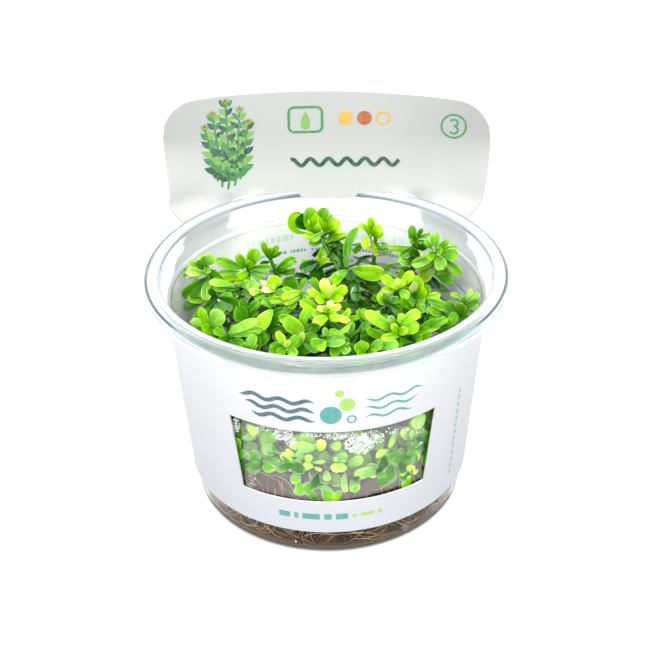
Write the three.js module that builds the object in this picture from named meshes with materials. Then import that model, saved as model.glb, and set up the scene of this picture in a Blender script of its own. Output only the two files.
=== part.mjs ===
// Tissue culture rotala indica: a round clear plastic cup with brown nutrient gel and about forty leafy
// shoots, in a printed card sleeve with a front window and a tall rounded back panel.
// Millimetres, +Z up. The origin is the middle of the cup's flat base and the window faces -Y.

import * as THREE from 'three';
import { mergeVertices } from 'three/addons/utils/BufferGeometryUtils.js';

// Driving dimensions: cup
const cupHeight = 70.5;
const rimRadius = 50.5;
const lipInnerRadius = 46.1;
const wallThickness = 0.75;
const floorThickness = 1.0;
const baseWallRadius = 39.17;
const wallSlope = 0.0778;
const shoulderHeight = 62.6;
const skirtHeight = 5.5;
const cupSegments = 36;

// Driving dimensions: card sleeve, its window and its back panel
const cardThickness = 0.5;
const sleeveBottom = 8.7;
const sleeveTop = 62.06;
const sleeveBottomRadius = 40.7;
const sleeveTopRadius = 44.85;
const windowBottom = 19.9;
const windowTop = 44.2;
const windowTurn = 1.9;
const windowHalfAngleTop = 37.6;
const windowHalfAngleBottom = 35.5;
const panelTop = 104;
const panelHalfWidth = 49.3;
const panelCornerRadius = 10;
const panelMiddleY = 43;
const panelPlanRadius = 260;
const panelSideBend = 36;
const slotHalfWidth = 30.7;
const slotTop = 71.7;
const slotCornerStart = 21;
const slotCornerDrop = 3.2;
const tongueFrom = -7.6;
const tongueTo = 10;
const tongueBottom = 69.9;
const strapOuterRadius = 52;
const strapLiftStart = 48;
const strapLiftEnd = 65.5;
const strapLiftPower = 1.9;
const strapEaseIn = 12;
const strapEaseOut = 14;
const strapNarrowStart = 60;
const strapNarrowEnd = 66.5;
const panelBendFrom = 22;
const panelBendTo = 52;
const panelBendSteps = 24;
const panelUnbendShare = 0.92;
const panelUnbendFrom = 68;
const panelUnbendTo = 92;
const panelJoinFrom = 66.5;
const panelJoinTo = 74;
const panelMiddleFlat = 16;
const panelMiddleEnd = 30;
const sleeveMiddle = 54;
const strapMiddle = 65.3;
const panelRows = [76, 83, 90];

// Driving dimensions: gel
const gelHeight = 30;
const gelGap = 0.35;
const gelDimple = 8;
const gelDimpleWidth = 10;
const gelSegments = 28;

// Driving dimensions: shoots
const stemRadius = 0.8;
const nodeHeight = 0.7;
const baseSpread = 0.84;
const baseLean = 8;
const stemRiseShare = 0.6;
const stemLeanShare = 0.35;
const leafWidthRatio = 0.54;
const leafThickness = 0.7;
const leafCorners = [[0.6, 1], [0.95, 0.75], [0.95, -0.75], [0.6, -1]];
const keelPlace = 0.6;
const clearance = 0.3;
const stemClearance = 0.8;
const leafClearance = 0.6;
const pairDrop = [0.8, 2.6, 5.4, 9, 13];
const pairTilt = [36, 56, 70, 78, 84];
const pairLength = [0.66, 0.94, 1.05, 1.05, 1];
const pairBend = [-0.04, 0.06, 0.14, 0.2, 0.24];

// Shoots: tip x, y, z, leaf length, turn of the top pair in degrees, leaf pairs, lean of the tip along
// x and y, and where it matters the foot's x and y
const shootTips = [
  [-4, 31, 70, 6.6, 20, 4, -0.3, 0.3, 10.5, 13],
  [0.5, 30, 69, 6.8, 65, 4, -0.1, 0.3, 13, 17.5],
  [15, 27, 68, 6.6, 75, 4, 0, -0.1],
  [7, 8, 62.5, 9, 30, 5, 0, -0.2, 5, 4],
  [-2.5, 22, 59, 7.6, 40, 3, 0, -0.3],
  [26.5, 22, 68, 7.4, 15, 4, -0.1, 0],
  [31.5, 12, 67, 8, 50, 4, 0.2, -0.6],
  [37, -10, 63, 7, 45, 3, -0.2, -0.3],
  [20, -4, 65, 7.4, 60, 4, 0, -0.2],
  [25, -2, 63, 7.2, 15, 4, 0.1, -0.2],
  [15.5, -10, 64, 6.6, 80, 3, -0.1, -0.3],
  [28.5, -8.5, 62.5, 8, 65, 4, 0.3, -0.2],
  [19, -23, 63, 8.8, 70, 4, 0, -0.2],
  [26, -20, 61, 8, 20, 3, 0.3, -0.2],
  [0, -6, 64, 7.6, 45, 4, 0, -0.15],
  [0.5, -14.5, 63.5, 7.4, 10, 4, 0.1, -0.35],
  [-8, -2, 62.5, 7.6, 75, 3, -0.4, -0.1],
  [-6.5, -24.5, 62, 9, 35, 4, 0, -0.3],
  [-11.5, -30, 62, 7.4, 75, 3, 0, -0.2],
  [1, -30.5, 64, 7.8, 15, 3, 0, -0.2],
  [9.5, -30.5, 62.5, 7.6, 55, 3, 0, -0.2],
  [-34.5, 10, 66, 7.6, 20, 4, -0.3, -0.1],
  [-22.5, 13.5, 63, 8.2, 35, 4, 0, -0.1],
  [-17, 18.5, 64.5, 6.8, 55, 4, -0.35, 0],
  [-16, 2, 62, 7.6, 15, 4, -0.4, 0],
  [-30.5, -3, 61.5, 8, 60, 4, -0.1, -0.1],
  [-32, -14.5, 60.5, 8.4, 40, 3, -0.1, -0.1],
  [-25.5, -19, 60, 9.2, 5, 4, -0.1, -0.2],
  [-23, -8, 60.5, 8, 30, 3, 0, 0],
  [-15.5, -13, 63, 8.4, 65, 4, 0.1, -0.1],
  [-25.5, 4.5, 62, 7.6, 10, 3, -0.2, 0],
  [5.5, -20, 59.5, 7.6, 60, 3, 0, 0],
  [11.5, -16.5, 61, 7.4, 25, 3, 0.1, 0],
  [-7.5, -11.5, 57.5, 7.6, 80, 3, 0, 0],
  [33, -15.5, 59, 7.2, 50, 3, 0.2, 0],
  [11, 1, 57, 8, 10, 3, 0, 0],
  [-20.5, -27, 60, 7.6, 65, 3, 0, 0],
  [20, 8, 58, 8, 30, 3, 0, 0],
  [-9, 8, 57, 8, 20, 3, 0, 0],
  [17.5, -30, 61, 7.4, 35, 3, 0, 0],
  [-20.5, -32, 44, 7, 65, 3, 0, 0],
  [-11, -34.5, 42.5, 7.2, 20, 3, 0, 0],
  [-1.5, -35.5, 42.5, 7.4, 55, 3, 0, 0],
  [7.5, -35, 41.5, 7.2, 15, 3, 0, 0],
  [16.5, -32, 43.5, 7.4, 75, 3, 0, 0],
  [25, -27, 46, 7.4, 40, 3, 0, 0],
];

// Ways in which a leaf gives way to its neighbours: change of tilt, change of turn, share of length
const leafMoves = [
  [0, 0, 1], [-14, 0, 1], [12, 0, 1], [0, 22, 1], [0, -22, 1], [-28, 0, 0.95], [-14, 24, 0.9],
  [-14, -24, 0.9], [-20, 0, 0.75], [0, 35, 0.75], [0, -35, 0.75], [-35, 0, 0.7],
];

const radians = THREE.MathUtils.degToRad;
const lerp = THREE.MathUtils.lerp;
const smooth = (from, to, value) => THREE.MathUtils.smoothstep(value, from, to);

// Outside radius of the cup's tapering wall at a height
const outerWall = (z) => baseWallRadius + z * wallSlope;
const innerWall = (z) => outerWall(z) - wallThickness;

// Materials: colour, roughness and opacity of each piece
const clearPlastic = new THREE.MeshStandardMaterial({
  color: 0xe6edf0, roughness: 0.1, metalness: 0, transparent: true, opacity: 0.35,
});
const whiteCard = new THREE.MeshStandardMaterial({ color: 0xf2f3f4, roughness: 0.55, metalness: 0 });
const brownGel = new THREE.MeshStandardMaterial({ color: 0x64513c, roughness: 0.35, metalness: 0 });
const leafGreen = new THREE.MeshStandardMaterial({ color: 0x63a51c, roughness: 0.4, metalness: 0 });

// One closed surface whose neighbouring faces share their corners
function closed(geometry) {
  geometry.deleteAttribute('normal');
  geometry.deleteAttribute('uv');
  return mergeVertices(geometry, 1e-5);
}

function revolve(profile, segments) {
  const points = profile.map(([r, z]) => new THREE.Vector2(r, z));
  const geometry = new THREE.LatheGeometry(points, segments);
  geometry.rotateX(Math.PI / 2);
  return closed(geometry);
}

// Cup: tub with a tapering wall, a stepped shoulder and a rolled rim with an outer skirt
function makeCup() {
  const skirtBottom = cupHeight - skirtHeight;
  const rimWallRadius = lipInnerRadius + wallThickness;
  const shoulderRadius = outerWall(shoulderHeight);
  const outside = [
    [0, 0],
    [baseWallRadius - 2.1, 0],
    [baseWallRadius - 0.6, 0.6],
    [outerWall(2.2), 2.2],
    [shoulderRadius, shoulderHeight],
    [rimWallRadius - 0.7, shoulderHeight + 1.7],
    [rimWallRadius, skirtBottom],
  ];
  const underRim = [
    [rimWallRadius, cupHeight - 1.7],
    [rimWallRadius + 1, cupHeight - 1],
    [rimRadius - 1.5, cupHeight - 1.1],
    [rimRadius - 0.8, cupHeight - 2.3],
    [rimRadius - 1, skirtBottom],
  ];
  const overRim = [
    [rimRadius - 0.2, skirtBottom],
    [rimRadius, cupHeight - 2.5],
    [rimRadius - 0.4, cupHeight - 0.9],
    [rimRadius - 1.5, cupHeight - 0.1],
    [lipInnerRadius + 0.9, cupHeight],
    [lipInnerRadius, cupHeight - 0.7],
  ];
  const inside = [
    [lipInnerRadius - 0.2, skirtBottom],
    [lipInnerRadius - 1, shoulderHeight + 1.3],
    [innerWall(shoulderHeight), shoulderHeight - 0.4],
    [innerWall(3), 3],
    [baseWallRadius - 2.1, floorThickness],
    [0, floorThickness],
  ];
  return revolve([...outside, ...underRim, ...overRim, ...inside], cupSegments);
}

// Card sleeve: every point of the card has a place s along it, measured on the sleeve's top edge from
// the middle of the back, positive towards +X, and a height z
const coneRadius = (z) => {
  const share = (z - sleeveBottom) / (sleeveTop - sleeveBottom);
  return lerp(sleeveBottomRadius, sleeveTopRadius, share) - cardThickness / 2;
};

// The two straps beside the slot leave the cup's wall to pass outside the rim
function strapShare(s) {
  const place = Math.abs(s);
  const joined = smooth(slotHalfWidth - strapEaseIn, slotHalfWidth, place);
  return joined * (1 - smooth(panelHalfWidth, panelHalfWidth + strapEaseOut, place));
}

function ringPoint(s, z) {
  const share = strapShare(s);
  const rise = THREE.MathUtils.clamp((z - strapLiftStart) / (strapLiftEnd - strapLiftStart), 0, 1);
  const lift = Math.pow(rise, strapLiftPower);
  const cone = coneRadius(Math.min(z, strapLiftEnd));
  const radius = cone + (strapOuterRadius - cardThickness / 2 - cone) * lift * share;
  const narrowing = 1 - (1 - sleeveTopRadius / strapOuterRadius) * smooth(strapNarrowStart, strapNarrowEnd, z) * share;
  const angle = (s / sleeveTopRadius) * narrowing;
  return new THREE.Vector3(radius * Math.sin(angle), radius * Math.cos(angle), z);
}

// The panel above the rim: flat in its middle, its sides bent forward, less so towards the top
function panelPoint(s, z) {
  const bend = radians(panelSideBend) * (1 - panelUnbendShare * smooth(panelUnbendFrom, panelUnbendTo, z));
  const step = Math.abs(s) / panelBendSteps;
  let x = 0;
  let y = panelMiddleY;
  for (let i = 0; i < panelBendSteps; i += 1) {
    const place = (i + 0.5) * step;
    const heading = bend * smooth(panelBendFrom, panelBendTo, place) + place / panelPlanRadius;
    x += step * Math.cos(heading);
    y -= step * Math.sin(heading);
  }
  return new THREE.Vector3(Math.sign(s) * x, y, z);
}

function cardPoint(s, z) {
  if (z <= sleeveTop) {
    return ringPoint(s, z);
  }
  const inMiddle = 1 - smooth(panelMiddleFlat, panelMiddleEnd, Math.abs(s));
  const free = Math.max(smooth(panelJoinFrom, panelJoinTo, z), inMiddle);
  return ringPoint(s, z).lerp(panelPoint(s, z), free);
}

// The card's face that looks at the plants, or its outer face
function cardFace(s, z, side) {
  const d = 0.05;
  const alongS = cardPoint(s + d, z).sub(cardPoint(s - d, z));
  const alongZ = cardPoint(s, z + d).sub(cardPoint(s, z - d));
  const normal = alongS.cross(alongZ).normalize();
  return cardPoint(s, z).addScaledVector(normal, side * cardThickness / 2);
}

// Columns of the card's grid, from the middle of the window round to it again
function cardColumns() {
  const columns = [];
  const add = (place, kind, placeBelow = place) => columns.push({ place, placeBelow, kind });
  const degree = radians(1) * sleeveTopRadius;
  const leftTop = -(180 - windowHalfAngleTop + windowTurn) * degree;
  const leftBottom = -(180 - windowHalfAngleBottom + windowTurn) * degree;
  const rightTop = (180 - windowHalfAngleTop - windowTurn) * degree;
  const rightBottom = (180 - windowHalfAngleBottom - windowTurn) * degree;
  const front = Math.PI * sleeveTopRadius;
  const windowSteps = 5;
  for (let i = 0; i < windowSteps; i += 1) {
    add(lerp(-front, leftTop, i / windowSteps), 'window');
  }
  const sideSteps = 11;
  add(leftTop, 'wall', leftBottom);
  for (let i = 1; i < sideSteps; i += 1) {
    add(lerp(leftTop, -panelHalfWidth, i / sideSteps), 'wall');
  }
  const cornerStart = panelHalfWidth - panelCornerRadius;
  const strap = [slotHalfWidth, 35, cornerStart, cornerStart + 5, cornerStart + 8.66, panelHalfWidth];
  strap.slice(1).reverse().forEach((place) => add(-place, 'strap'));
  [-slotHalfWidth, -27.5, -24, -slotCornerStart, -14.3].forEach((place) => add(place, 'slot'));
  [tongueFrom, 1.2].forEach((place) => add(place, 'tongue'));
  [tongueTo, 15.5, slotCornerStart, 24, 27.5].forEach((place) => add(place, 'slot'));
  strap.slice(0, -1).forEach((place) => add(place, 'strap'));
  for (let i = 0; i < sideSteps; i += 1) {
    add(lerp(panelHalfWidth, rightTop, i / sideSteps), 'wall');
  }
  add(rightTop, 'window', rightBottom);
  for (let i = 1; i < windowSteps; i += 1) {
    add(lerp(rightTop, front, i / windowSteps), 'window');
  }
  return columns;
}

// Rows of the card's grid at one column: heights from the sleeve's bottom edge to the panel's top edge
function cardRows(place) {
  const out = Math.abs(place);
  const inTongue = place >= tongueFrom && place <= tongueTo;
  const slotShare = THREE.MathUtils.clamp((out - slotCornerStart) / (slotHalfWidth - slotCornerStart), 0, 1);
  const cornerPlace = Math.max(0, Math.min(out, panelHalfWidth) - (panelHalfWidth - panelCornerRadius));
  const cornerRise = Math.sqrt(Math.max(0, panelCornerRadius ** 2 - cornerPlace ** 2));
  return [
    sleeveBottom,
    windowBottom,
    windowTop,
    sleeveMiddle,
    sleeveTop,
    inTongue ? tongueBottom : strapMiddle,
    slotTop - slotCornerDrop * slotShare ** 2,
    ...panelRows,
    panelTop - panelCornerRadius + cornerRise,
  ];
}

// Whether the card covers the cell above row and right of a column
function cardCovers(kind, row) {
  if (row === 1) {
    return kind !== 'window';
  }
  if (row < 4) {
    return true;
  }
  if (row === 4) {
    return kind === 'strap';
  }
  if (row === 5) {
    return kind === 'strap' || kind === 'tongue';
  }
  return kind === 'strap' || kind === 'tongue' || kind === 'slot';
}

function makeSleeve() {
  const columns = cardColumns();
  const count = columns.length;
  const rowCount = cardRows(0).length;
  const positions = [];
  const faces = [];
  columns.forEach((column) => {
    cardRows(column.place).forEach((z) => {
      const lean = THREE.MathUtils.clamp((windowTop - z) / (windowTop - windowBottom), 0, 1);
      const s = lerp(column.place, column.placeBelow, lean);
      positions.push(...cardFace(s, z, -1).toArray(), ...cardFace(s, z, 1).toArray());
    });
  });
  const corner = (column, row, side) => 2 * (((column + count) % count) * rowCount + row) + side;
  const quad = (a, b, c, d) => faces.push(a, b, c, a, c, d);
  const covers = (column, row) => row >= 0 && row < rowCount - 1
    && cardCovers(columns[(column + count) % count].kind, row);
  for (let i = 0; i < count; i += 1) {
    for (let j = 0; j < rowCount - 1; j += 1) {
      if (covers(i, j)) {
        quad(corner(i, j, 1), corner(i + 1, j, 1), corner(i + 1, j + 1, 1), corner(i, j + 1, 1));
        quad(corner(i, j, 0), corner(i, j + 1, 0), corner(i + 1, j + 1, 0), corner(i + 1, j, 0));
        if (!covers(i, j - 1)) {
          quad(corner(i, j, 0), corner(i + 1, j, 0), corner(i + 1, j, 1), corner(i, j, 1));
        }
        if (!covers(i, j + 1)) {
          quad(corner(i, j + 1, 1), corner(i + 1, j + 1, 1), corner(i + 1, j + 1, 0), corner(i, j + 1, 0));
        }
        if (!covers(i - 1, j)) {
          quad(corner(i, j, 0), corner(i, j, 1), corner(i, j + 1, 1), corner(i, j + 1, 0));
        }
        if (!covers(i + 1, j)) {
          quad(corner(i + 1, j, 1), corner(i + 1, j, 0), corner(i + 1, j + 1, 0), corner(i + 1, j + 1, 1));
        }
      }
    }
  }
  const geometry = new THREE.BufferGeometry();
  geometry.setAttribute('position', new THREE.Float32BufferAttribute(positions, 3));
  geometry.setIndex(faces);
  return mergeVertices(geometry, 1e-5);
}

// Gel: its top is uneven and dips behind the window
function gelTop(x, y) {
  const dip = Math.exp(-((x - 2) ** 2 + (y + 40) ** 2) / (2 * gelDimpleWidth ** 2));
  return gelHeight - gelDimple * dip + 0.7 * Math.sin(x / 7) * Math.cos(y / 9);
}

function makeGel() {
  const bottom = floorThickness + gelGap;
  const topRadius = innerWall(gelHeight) - gelGap;
  const rings = [1, 0.75, 0.4];
  const profile = [
    [0, bottom],
    [baseWallRadius - 2.5, bottom],
    [innerWall(4) - gelGap, 4],
    [innerWall(17) - gelGap, 17],
    ...rings.map((share) => [share * topRadius, gelHeight]),
    [0, gelHeight],
  ];
  const geometry = revolve(profile, gelSegments);
  const position = geometry.getAttribute('position');
  for (let i = 0; i < position.count; i += 1) {
    if (position.getZ(i) > gelHeight - 1) {
      const x = position.getX(i);
      const y = position.getY(i);
      const z = gelTop(x, y);
      const limit = innerWall(z) - gelGap;
      const shrink = Math.min(1, limit / Math.max(1, Math.hypot(x, y)));
      position.setXYZ(i, x * shrink, y * shrink, z);
    }
  }
  return geometry;
}

// Repeatable numbers from 0 to 1, so that every build grows the same shoots
let seed = 20240;
function chance() {
  seed = (seed * 1664525 + 1013904223) % 4294967296;
  return seed / 4294967296;
}
const vary = (amount) => amount * (2 * chance() - 1);

// A shoot's stem rises upright from the gel and leans out to its tip
function growStem([x, y, z, , , , leanX, leanY, footX, footY]) {
  const tip = new THREE.Vector3(x, y, z);
  const spreadX = x * baseSpread - leanX * baseLean + vary(0.8);
  const spreadY = y * baseSpread - leanY * baseLean + vary(0.8);
  const baseX = footX ?? spreadX;
  const baseY = footY ?? spreadY;
  const base = new THREE.Vector3(baseX, baseY, gelTop(baseX, baseY) + clearance + 0.3);
  const rise = z - base.z;
  const upright = new THREE.Vector3(baseX, baseY, base.z + stemRiseShare * rise);
  const lean = new THREE.Vector3(leanX, leanY, 1).normalize();
  return new THREE.CubicBezierCurve3(base, upright, tip.clone().addScaledVector(lean, -stemLeanShare * rise), tip);
}

// Places of a stem's rings below its lowest leaf pair, as lengths down from the tip
function stemBends(stem, [, , , , , pairs, , , foot]) {
  const length = stem.getLength();
  const lowest = pairDrop[pairs - 1];
  const parts = foot === undefined ? 2 : 5;
  return Array.from({ length: parts }, (_, i) => lerp(length, lowest, i / parts));
}

// Corners of the line that a stem's solid follows
function stemLine(stem, row) {
  const drops = [...stemBends(stem, row), ...pairDrop.slice(0, row[5]).reverse(), 0];
  return drops.map((drop) => stem.getPoint(1 - drop / stem.getLength()));
}

// Outline of a leaf: half of its width, as a share, at a share of its length
const leafOutline = (u) => 1.65 * Math.pow(Math.max(0, u), 0.9) * Math.sqrt(Math.max(0, 1 - u ** 4));

// Directions at a place on a stem: along its axis, and two across it
function stemFrame(stem, t) {
  const axis = stem.getTangent(t);
  const e1 = new THREE.Vector3(1, 0, 0).addScaledVector(axis, -axis.x).normalize();
  const e2 = axis.clone().cross(e1);
  return { axis, e1, e2 };
}

// A leaf's place and directions: along it, across it, and out of its upper face
function leafFrame(stem, drop, turn, tilt, length, bend) {
  const t = 1 - drop / stem.getLength();
  const { axis, e1, e2 } = stemFrame(stem, t);
  const out = e1.multiplyScalar(Math.cos(radians(turn))).addScaledVector(e2, Math.sin(radians(turn)));
  const along = axis.clone().multiplyScalar(Math.cos(radians(tilt))).addScaledVector(out, Math.sin(radians(tilt)));
  const across = axis.clone().cross(out).normalize();
  const face = along.clone().cross(across);
  return { node: stem.getPoint(t), along, across, face, length, bend, width: length * leafWidthRatio };
}

// A point on a leaf: u along it, v across it from edge to edge as -1 to 1, and lift above its middle
function leafPoint(leaf, u, v, lift = 0) {
  return leaf.node.clone()
    .addScaledVector(leaf.along, u * leaf.length)
    .addScaledVector(leaf.across, v * leafOutline(u) * leaf.width / 2)
    .addScaledVector(leaf.face, lift - leaf.bend * leaf.length * u * u);
}

const leafSamples = [0.15, 0.35, 0.55, 0.75, 0.95].flatMap((u) => [-0.9, -0.45, 0, 0.45, 0.9].map((v) => [u, v]));
const middleSample = 12;
const samplePoints = (leaf) => leafSamples.map(([u, v]) => leafPoint(leaf, u, v));

function pointInLeaf(point, leaf) {
  const from = point.clone().sub(leaf.node);
  const u = from.dot(leaf.along) / leaf.length;
  if (u < 0.12 || u > 1.06) {
    return false;
  }
  const height = from.dot(leaf.face) + leaf.bend * leaf.length * u * u;
  const reach = leafOutline(Math.min(u, 0.97)) * leaf.width / 2 + leafClearance;
  return Math.abs(height) < leafThickness + leafClearance && Math.abs(from.dot(leaf.across)) < reach;
}

function nearStem(point, stemPoints) {
  return stemPoints.some((start, i) => {
    if (i === stemPoints.length - 1) {
      return false;
    }
    const line = new THREE.Line3(start, stemPoints[i + 1]);
    return line.closestPointToPoint(point, true, new THREE.Vector3()).distanceTo(point) < stemRadius + stemClearance;
  });
}

// Inside the cup, above the gel and clear of the back panel's tongue
function insideCup(point) {
  const wall = point.z < shoulderHeight + 2 ? innerWall(Math.min(point.z, shoulderHeight)) : lipInnerRadius - 0.8;
  return Math.hypot(point.x, point.y) < wall - clearance - 0.4
    && point.z > gelTop(point.x, point.y) + clearance + 0.5
    && point.y < panelMiddleY - 1.5;
}

function leafFits(leaf, ownShoot, placedLeaves, stems) {
  const points = samplePoints(leaf);
  if (!points.every(insideCup)) {
    return false;
  }
  const hitsStem = stems.some((stemPoints, i) => i !== ownShoot && points.some((p) => nearStem(p, stemPoints)));
  if (hitsStem) {
    return false;
  }
  const middle = points[middleSample];
  return !placedLeaves.some((other) => {
    if (other.shoot === ownShoot || middle.distanceTo(other.middle) > (leaf.length + other.leaf.length) / 2 + 2) {
      return false;
    }
    return points.some((p) => pointInLeaf(p, other.leaf)) || other.points.some((p) => pointInLeaf(p, leaf));
  });
}

// All shoots' leaves: opposite pairs, each pair turned a quarter from the one above
function growLeaves(stems, stemPoints) {
  const placed = [];
  shootTips.forEach(([, , , size, firstTurn, pairs], shoot) => {
    for (let pair = 0; pair < pairs; pair += 1) {
      for (let side = 0; side < 2; side += 1) {
        const turn = firstTurn + 90 * pair + 180 * side + vary(12);
        const tilt = pairTilt[pair] + vary(9);
        const length = size * pairLength[pair] * (1 + vary(0.12));
        const bend = pairBend[pair] + vary(0.07);
        const grow = ([moreTilt, moreTurn, share]) => leafFrame(
          stems[shoot], pairDrop[pair], turn + moreTurn, tilt + moreTilt, length * share, bend,
        );
        const leaf = leafMoves.map(grow).find((candidate) => leafFits(candidate, shoot, placed, stemPoints));
        if (leaf) {
          const points = samplePoints(leaf);
          placed.push({ shoot, pair, side, leaf, points, middle: points[middleSample] });
        }
      }
    }
  });
  return placed;
}

// One shoot as one closed surface: a square stem whose faces open into leaves at each node
function shootGeometry(stem, row, leaves) {
  const [, , , , firstTurn, pairs] = row;
  const positions = [];
  const faces = [];
  const point = (p) => positions.push(p.x, p.y, p.z) / 3 - 1;
  const quad = (a, b, c, d) => faces.push(a, b, c, a, c, d);
  const stemLength = stem.getLength();
  const ring = (drop) => {
    const t = 1 - drop / stemLength;
    const { e1, e2 } = stemFrame(stem, t);
    const radius = stemRadius * (1 - 0.3 * t);
    return [0, 1, 2, 3].map((corner) => {
      const angle = radians(firstTurn + 90 * corner - 45);
      const side = e1.clone().multiplyScalar(radius * Math.cos(angle));
      return point(side.addScaledVector(e2, radius * Math.sin(angle)).add(stem.getPoint(t)));
    });
  };
  const band = (low, high, face) => {
    const next = (face + 1) % 4;
    quad(low[face], low[next], high[next], high[face]);
  };
  const openLeaf = (low, high, face, leaf) => {
    const next = (face + 1) % 4;
    const [right, rightTip, leftTip, left] = leafCorners.map(([u, v]) => point(leafPoint(leaf, u, v)));
    const keel = point(leafPoint(leaf, keelPlace, 0, -leafThickness));
    quad(high[face], left, right, high[next]);
    quad(left, leftTip, rightTip, right);
    const under = [low[face], low[next], right, rightTip, leftTip, left];
    under.forEach((corner, i) => faces.push(corner, under[(i + 1) % under.length], keel));
    faces.push(low[next], high[next], right, high[face], low[face], left);
  };
  const [foot, ...bends] = stemBends(stem, row);
  let below = ring(foot);
  quad(below[3], below[2], below[1], below[0]);
  bends.forEach((drop) => {
    const next = ring(drop);
    [0, 1, 2, 3].forEach((face) => band(below, next, face));
    below = next;
  });
  for (let pair = pairs - 1; pair >= 0; pair -= 1) {
    const low = ring(pairDrop[pair] + nodeHeight / 2);
    const high = ring(pairDrop[pair] - nodeHeight / 2);
    for (let face = 0; face < 4; face += 1) {
      const leaf = leaves.find((placed) => placed.pair === pair && (pair + 2 * placed.side) % 4 === face);
      band(below, low, face);
      if (leaf) {
        openLeaf(low, high, face, leaf.leaf);
      } else {
        band(low, high, face);
      }
    }
    below = high;
  }
  const apex = point(stem.getPoint(1));
  below.forEach((corner, i) => faces.push(corner, below[(i + 1) % 4], apex));
  const geometry = new THREE.BufferGeometry();
  geometry.setAttribute('position', new THREE.Float32BufferAttribute(positions, 3));
  geometry.setIndex(faces);
  return geometry;
}

function makeShoots() {
  const stems = shootTips.map(growStem);
  const stemPoints = stems.map((stem, i) => stemLine(stem, shootTips[i]));
  const leaves = growLeaves(stems, stemPoints);
  return stems.map((stem, shoot) => shootGeometry(
    stem,
    shootTips[shoot],
    leaves.filter((placed) => placed.shoot === shoot),
  ));
}

// The whole object
const plantCup = new THREE.Group();

function place(name, geometry, material) {
  const mesh = new THREE.Mesh(geometry, material);
  mesh.name = name;
  plantCup.add(mesh);
}

place('cup', makeCup(), clearPlastic);
place('sleeve', makeSleeve(), whiteCard);
place('gel', makeGel(), brownGel);
makeShoots().forEach((geometry, i) => {
  place(`shoot_${String(i + 1).padStart(2, '0')}`, geometry, leafGreen);
});

export default plantCup;
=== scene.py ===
# Looks of the tissue culture rotala indica in its clear cup with a printed card sleeve.
# Lengths are in millimetres until a mesh is made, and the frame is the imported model's.
import math

import bpy
import numpy as np
from mathutils import Matrix


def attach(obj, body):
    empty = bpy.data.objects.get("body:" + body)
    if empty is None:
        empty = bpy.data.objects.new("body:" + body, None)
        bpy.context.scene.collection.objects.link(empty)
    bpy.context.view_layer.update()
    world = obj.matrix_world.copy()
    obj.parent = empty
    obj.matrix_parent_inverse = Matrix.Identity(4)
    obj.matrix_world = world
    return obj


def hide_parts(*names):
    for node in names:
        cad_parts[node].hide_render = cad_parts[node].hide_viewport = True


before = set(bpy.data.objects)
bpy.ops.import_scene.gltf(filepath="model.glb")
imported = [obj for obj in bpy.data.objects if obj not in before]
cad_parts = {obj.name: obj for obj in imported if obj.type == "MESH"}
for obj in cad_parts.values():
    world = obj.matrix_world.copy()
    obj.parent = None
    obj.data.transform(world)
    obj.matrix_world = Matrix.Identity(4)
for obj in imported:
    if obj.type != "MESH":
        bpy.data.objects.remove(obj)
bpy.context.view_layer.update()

MM = 0.001
BLACK = (0, 0, 0)
WHITE = (1, 1, 1)

# Cup
CUP_HEIGHT = 70.5
RIM_RADIUS = 50.5
LIP_INNER_RADIUS = 46.1
WALL_THICKNESS = 0.75
FLOOR_THICKNESS = 0.6
BASE_WALL_RADIUS = 39.17
WALL_SLOPE = 0.0778
SHOULDER_HEIGHT = 62.6
SKIRT_BOTTOM = 66.0
CUP_ROUNDING = 0.9
CUP_SEGMENTS = 192

# Card sleeve
CARD_THICKNESS = 0.5
SLEEVE_BOTTOM = 8.7
SLEEVE_TOP = 62.06
SLEEVE_BOTTOM_RADIUS = 40.7
SLEEVE_TOP_RADIUS = 44.85
FRONT = math.pi * SLEEVE_TOP_RADIUS
WINDOW_BOTTOM = 19.9
WINDOW_TOP = 44.8
WINDOW_TURN = 1.9
WINDOW_HALF_ANGLE_TOP = 39.1
WINDOW_HALF_ANGLE_BOTTOM = 36.9
PANEL_TOP = 104.0
PANEL_HALF_WIDTH = 49.3
PANEL_CORNER_RADIUS = 10.0
PANEL_MIDDLE_Y = 43.0
PANEL_PLAN_RADIUS = 260.0
PANEL_SIDE_BEND = 36.0
SLOT_HALF_WIDTH = 30.7
SLOT_TOP = 71.7
SLOT_CORNER_START = 21.0
SLOT_CORNER_DROP = 3.2
TONGUE_FROM = -7.6
TONGUE_TO = 10.0
TONGUE_BOTTOM = 69.9
STRAP_OUTER_RADIUS = 52.0
STRAP_LIFT_START = 48.0
STRAP_LIFT_END = 65.5
CARD_STRIP = 1.3
TONGUE_STRIP = 0.6
PRINT_LIFT = 0.04
PANEL_PRINT_LIFT = 0.09

# Gel and roots
GEL_HEIGHT = 30.0
GEL_SIDE_TOP = 17.5
GEL_GAP = 0.12
GEL_DIMPLE = 8.0
GEL_DIMPLE_WIDTH = 10.0
GEL_SEGMENTS = 128
ROOT_COUNT = 420
LOW_ROOT_COUNT = 240
ROOT_STEP = 0.9
ROOT_LOWEST = 2.0
ROOT_SIDES = 5

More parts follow.
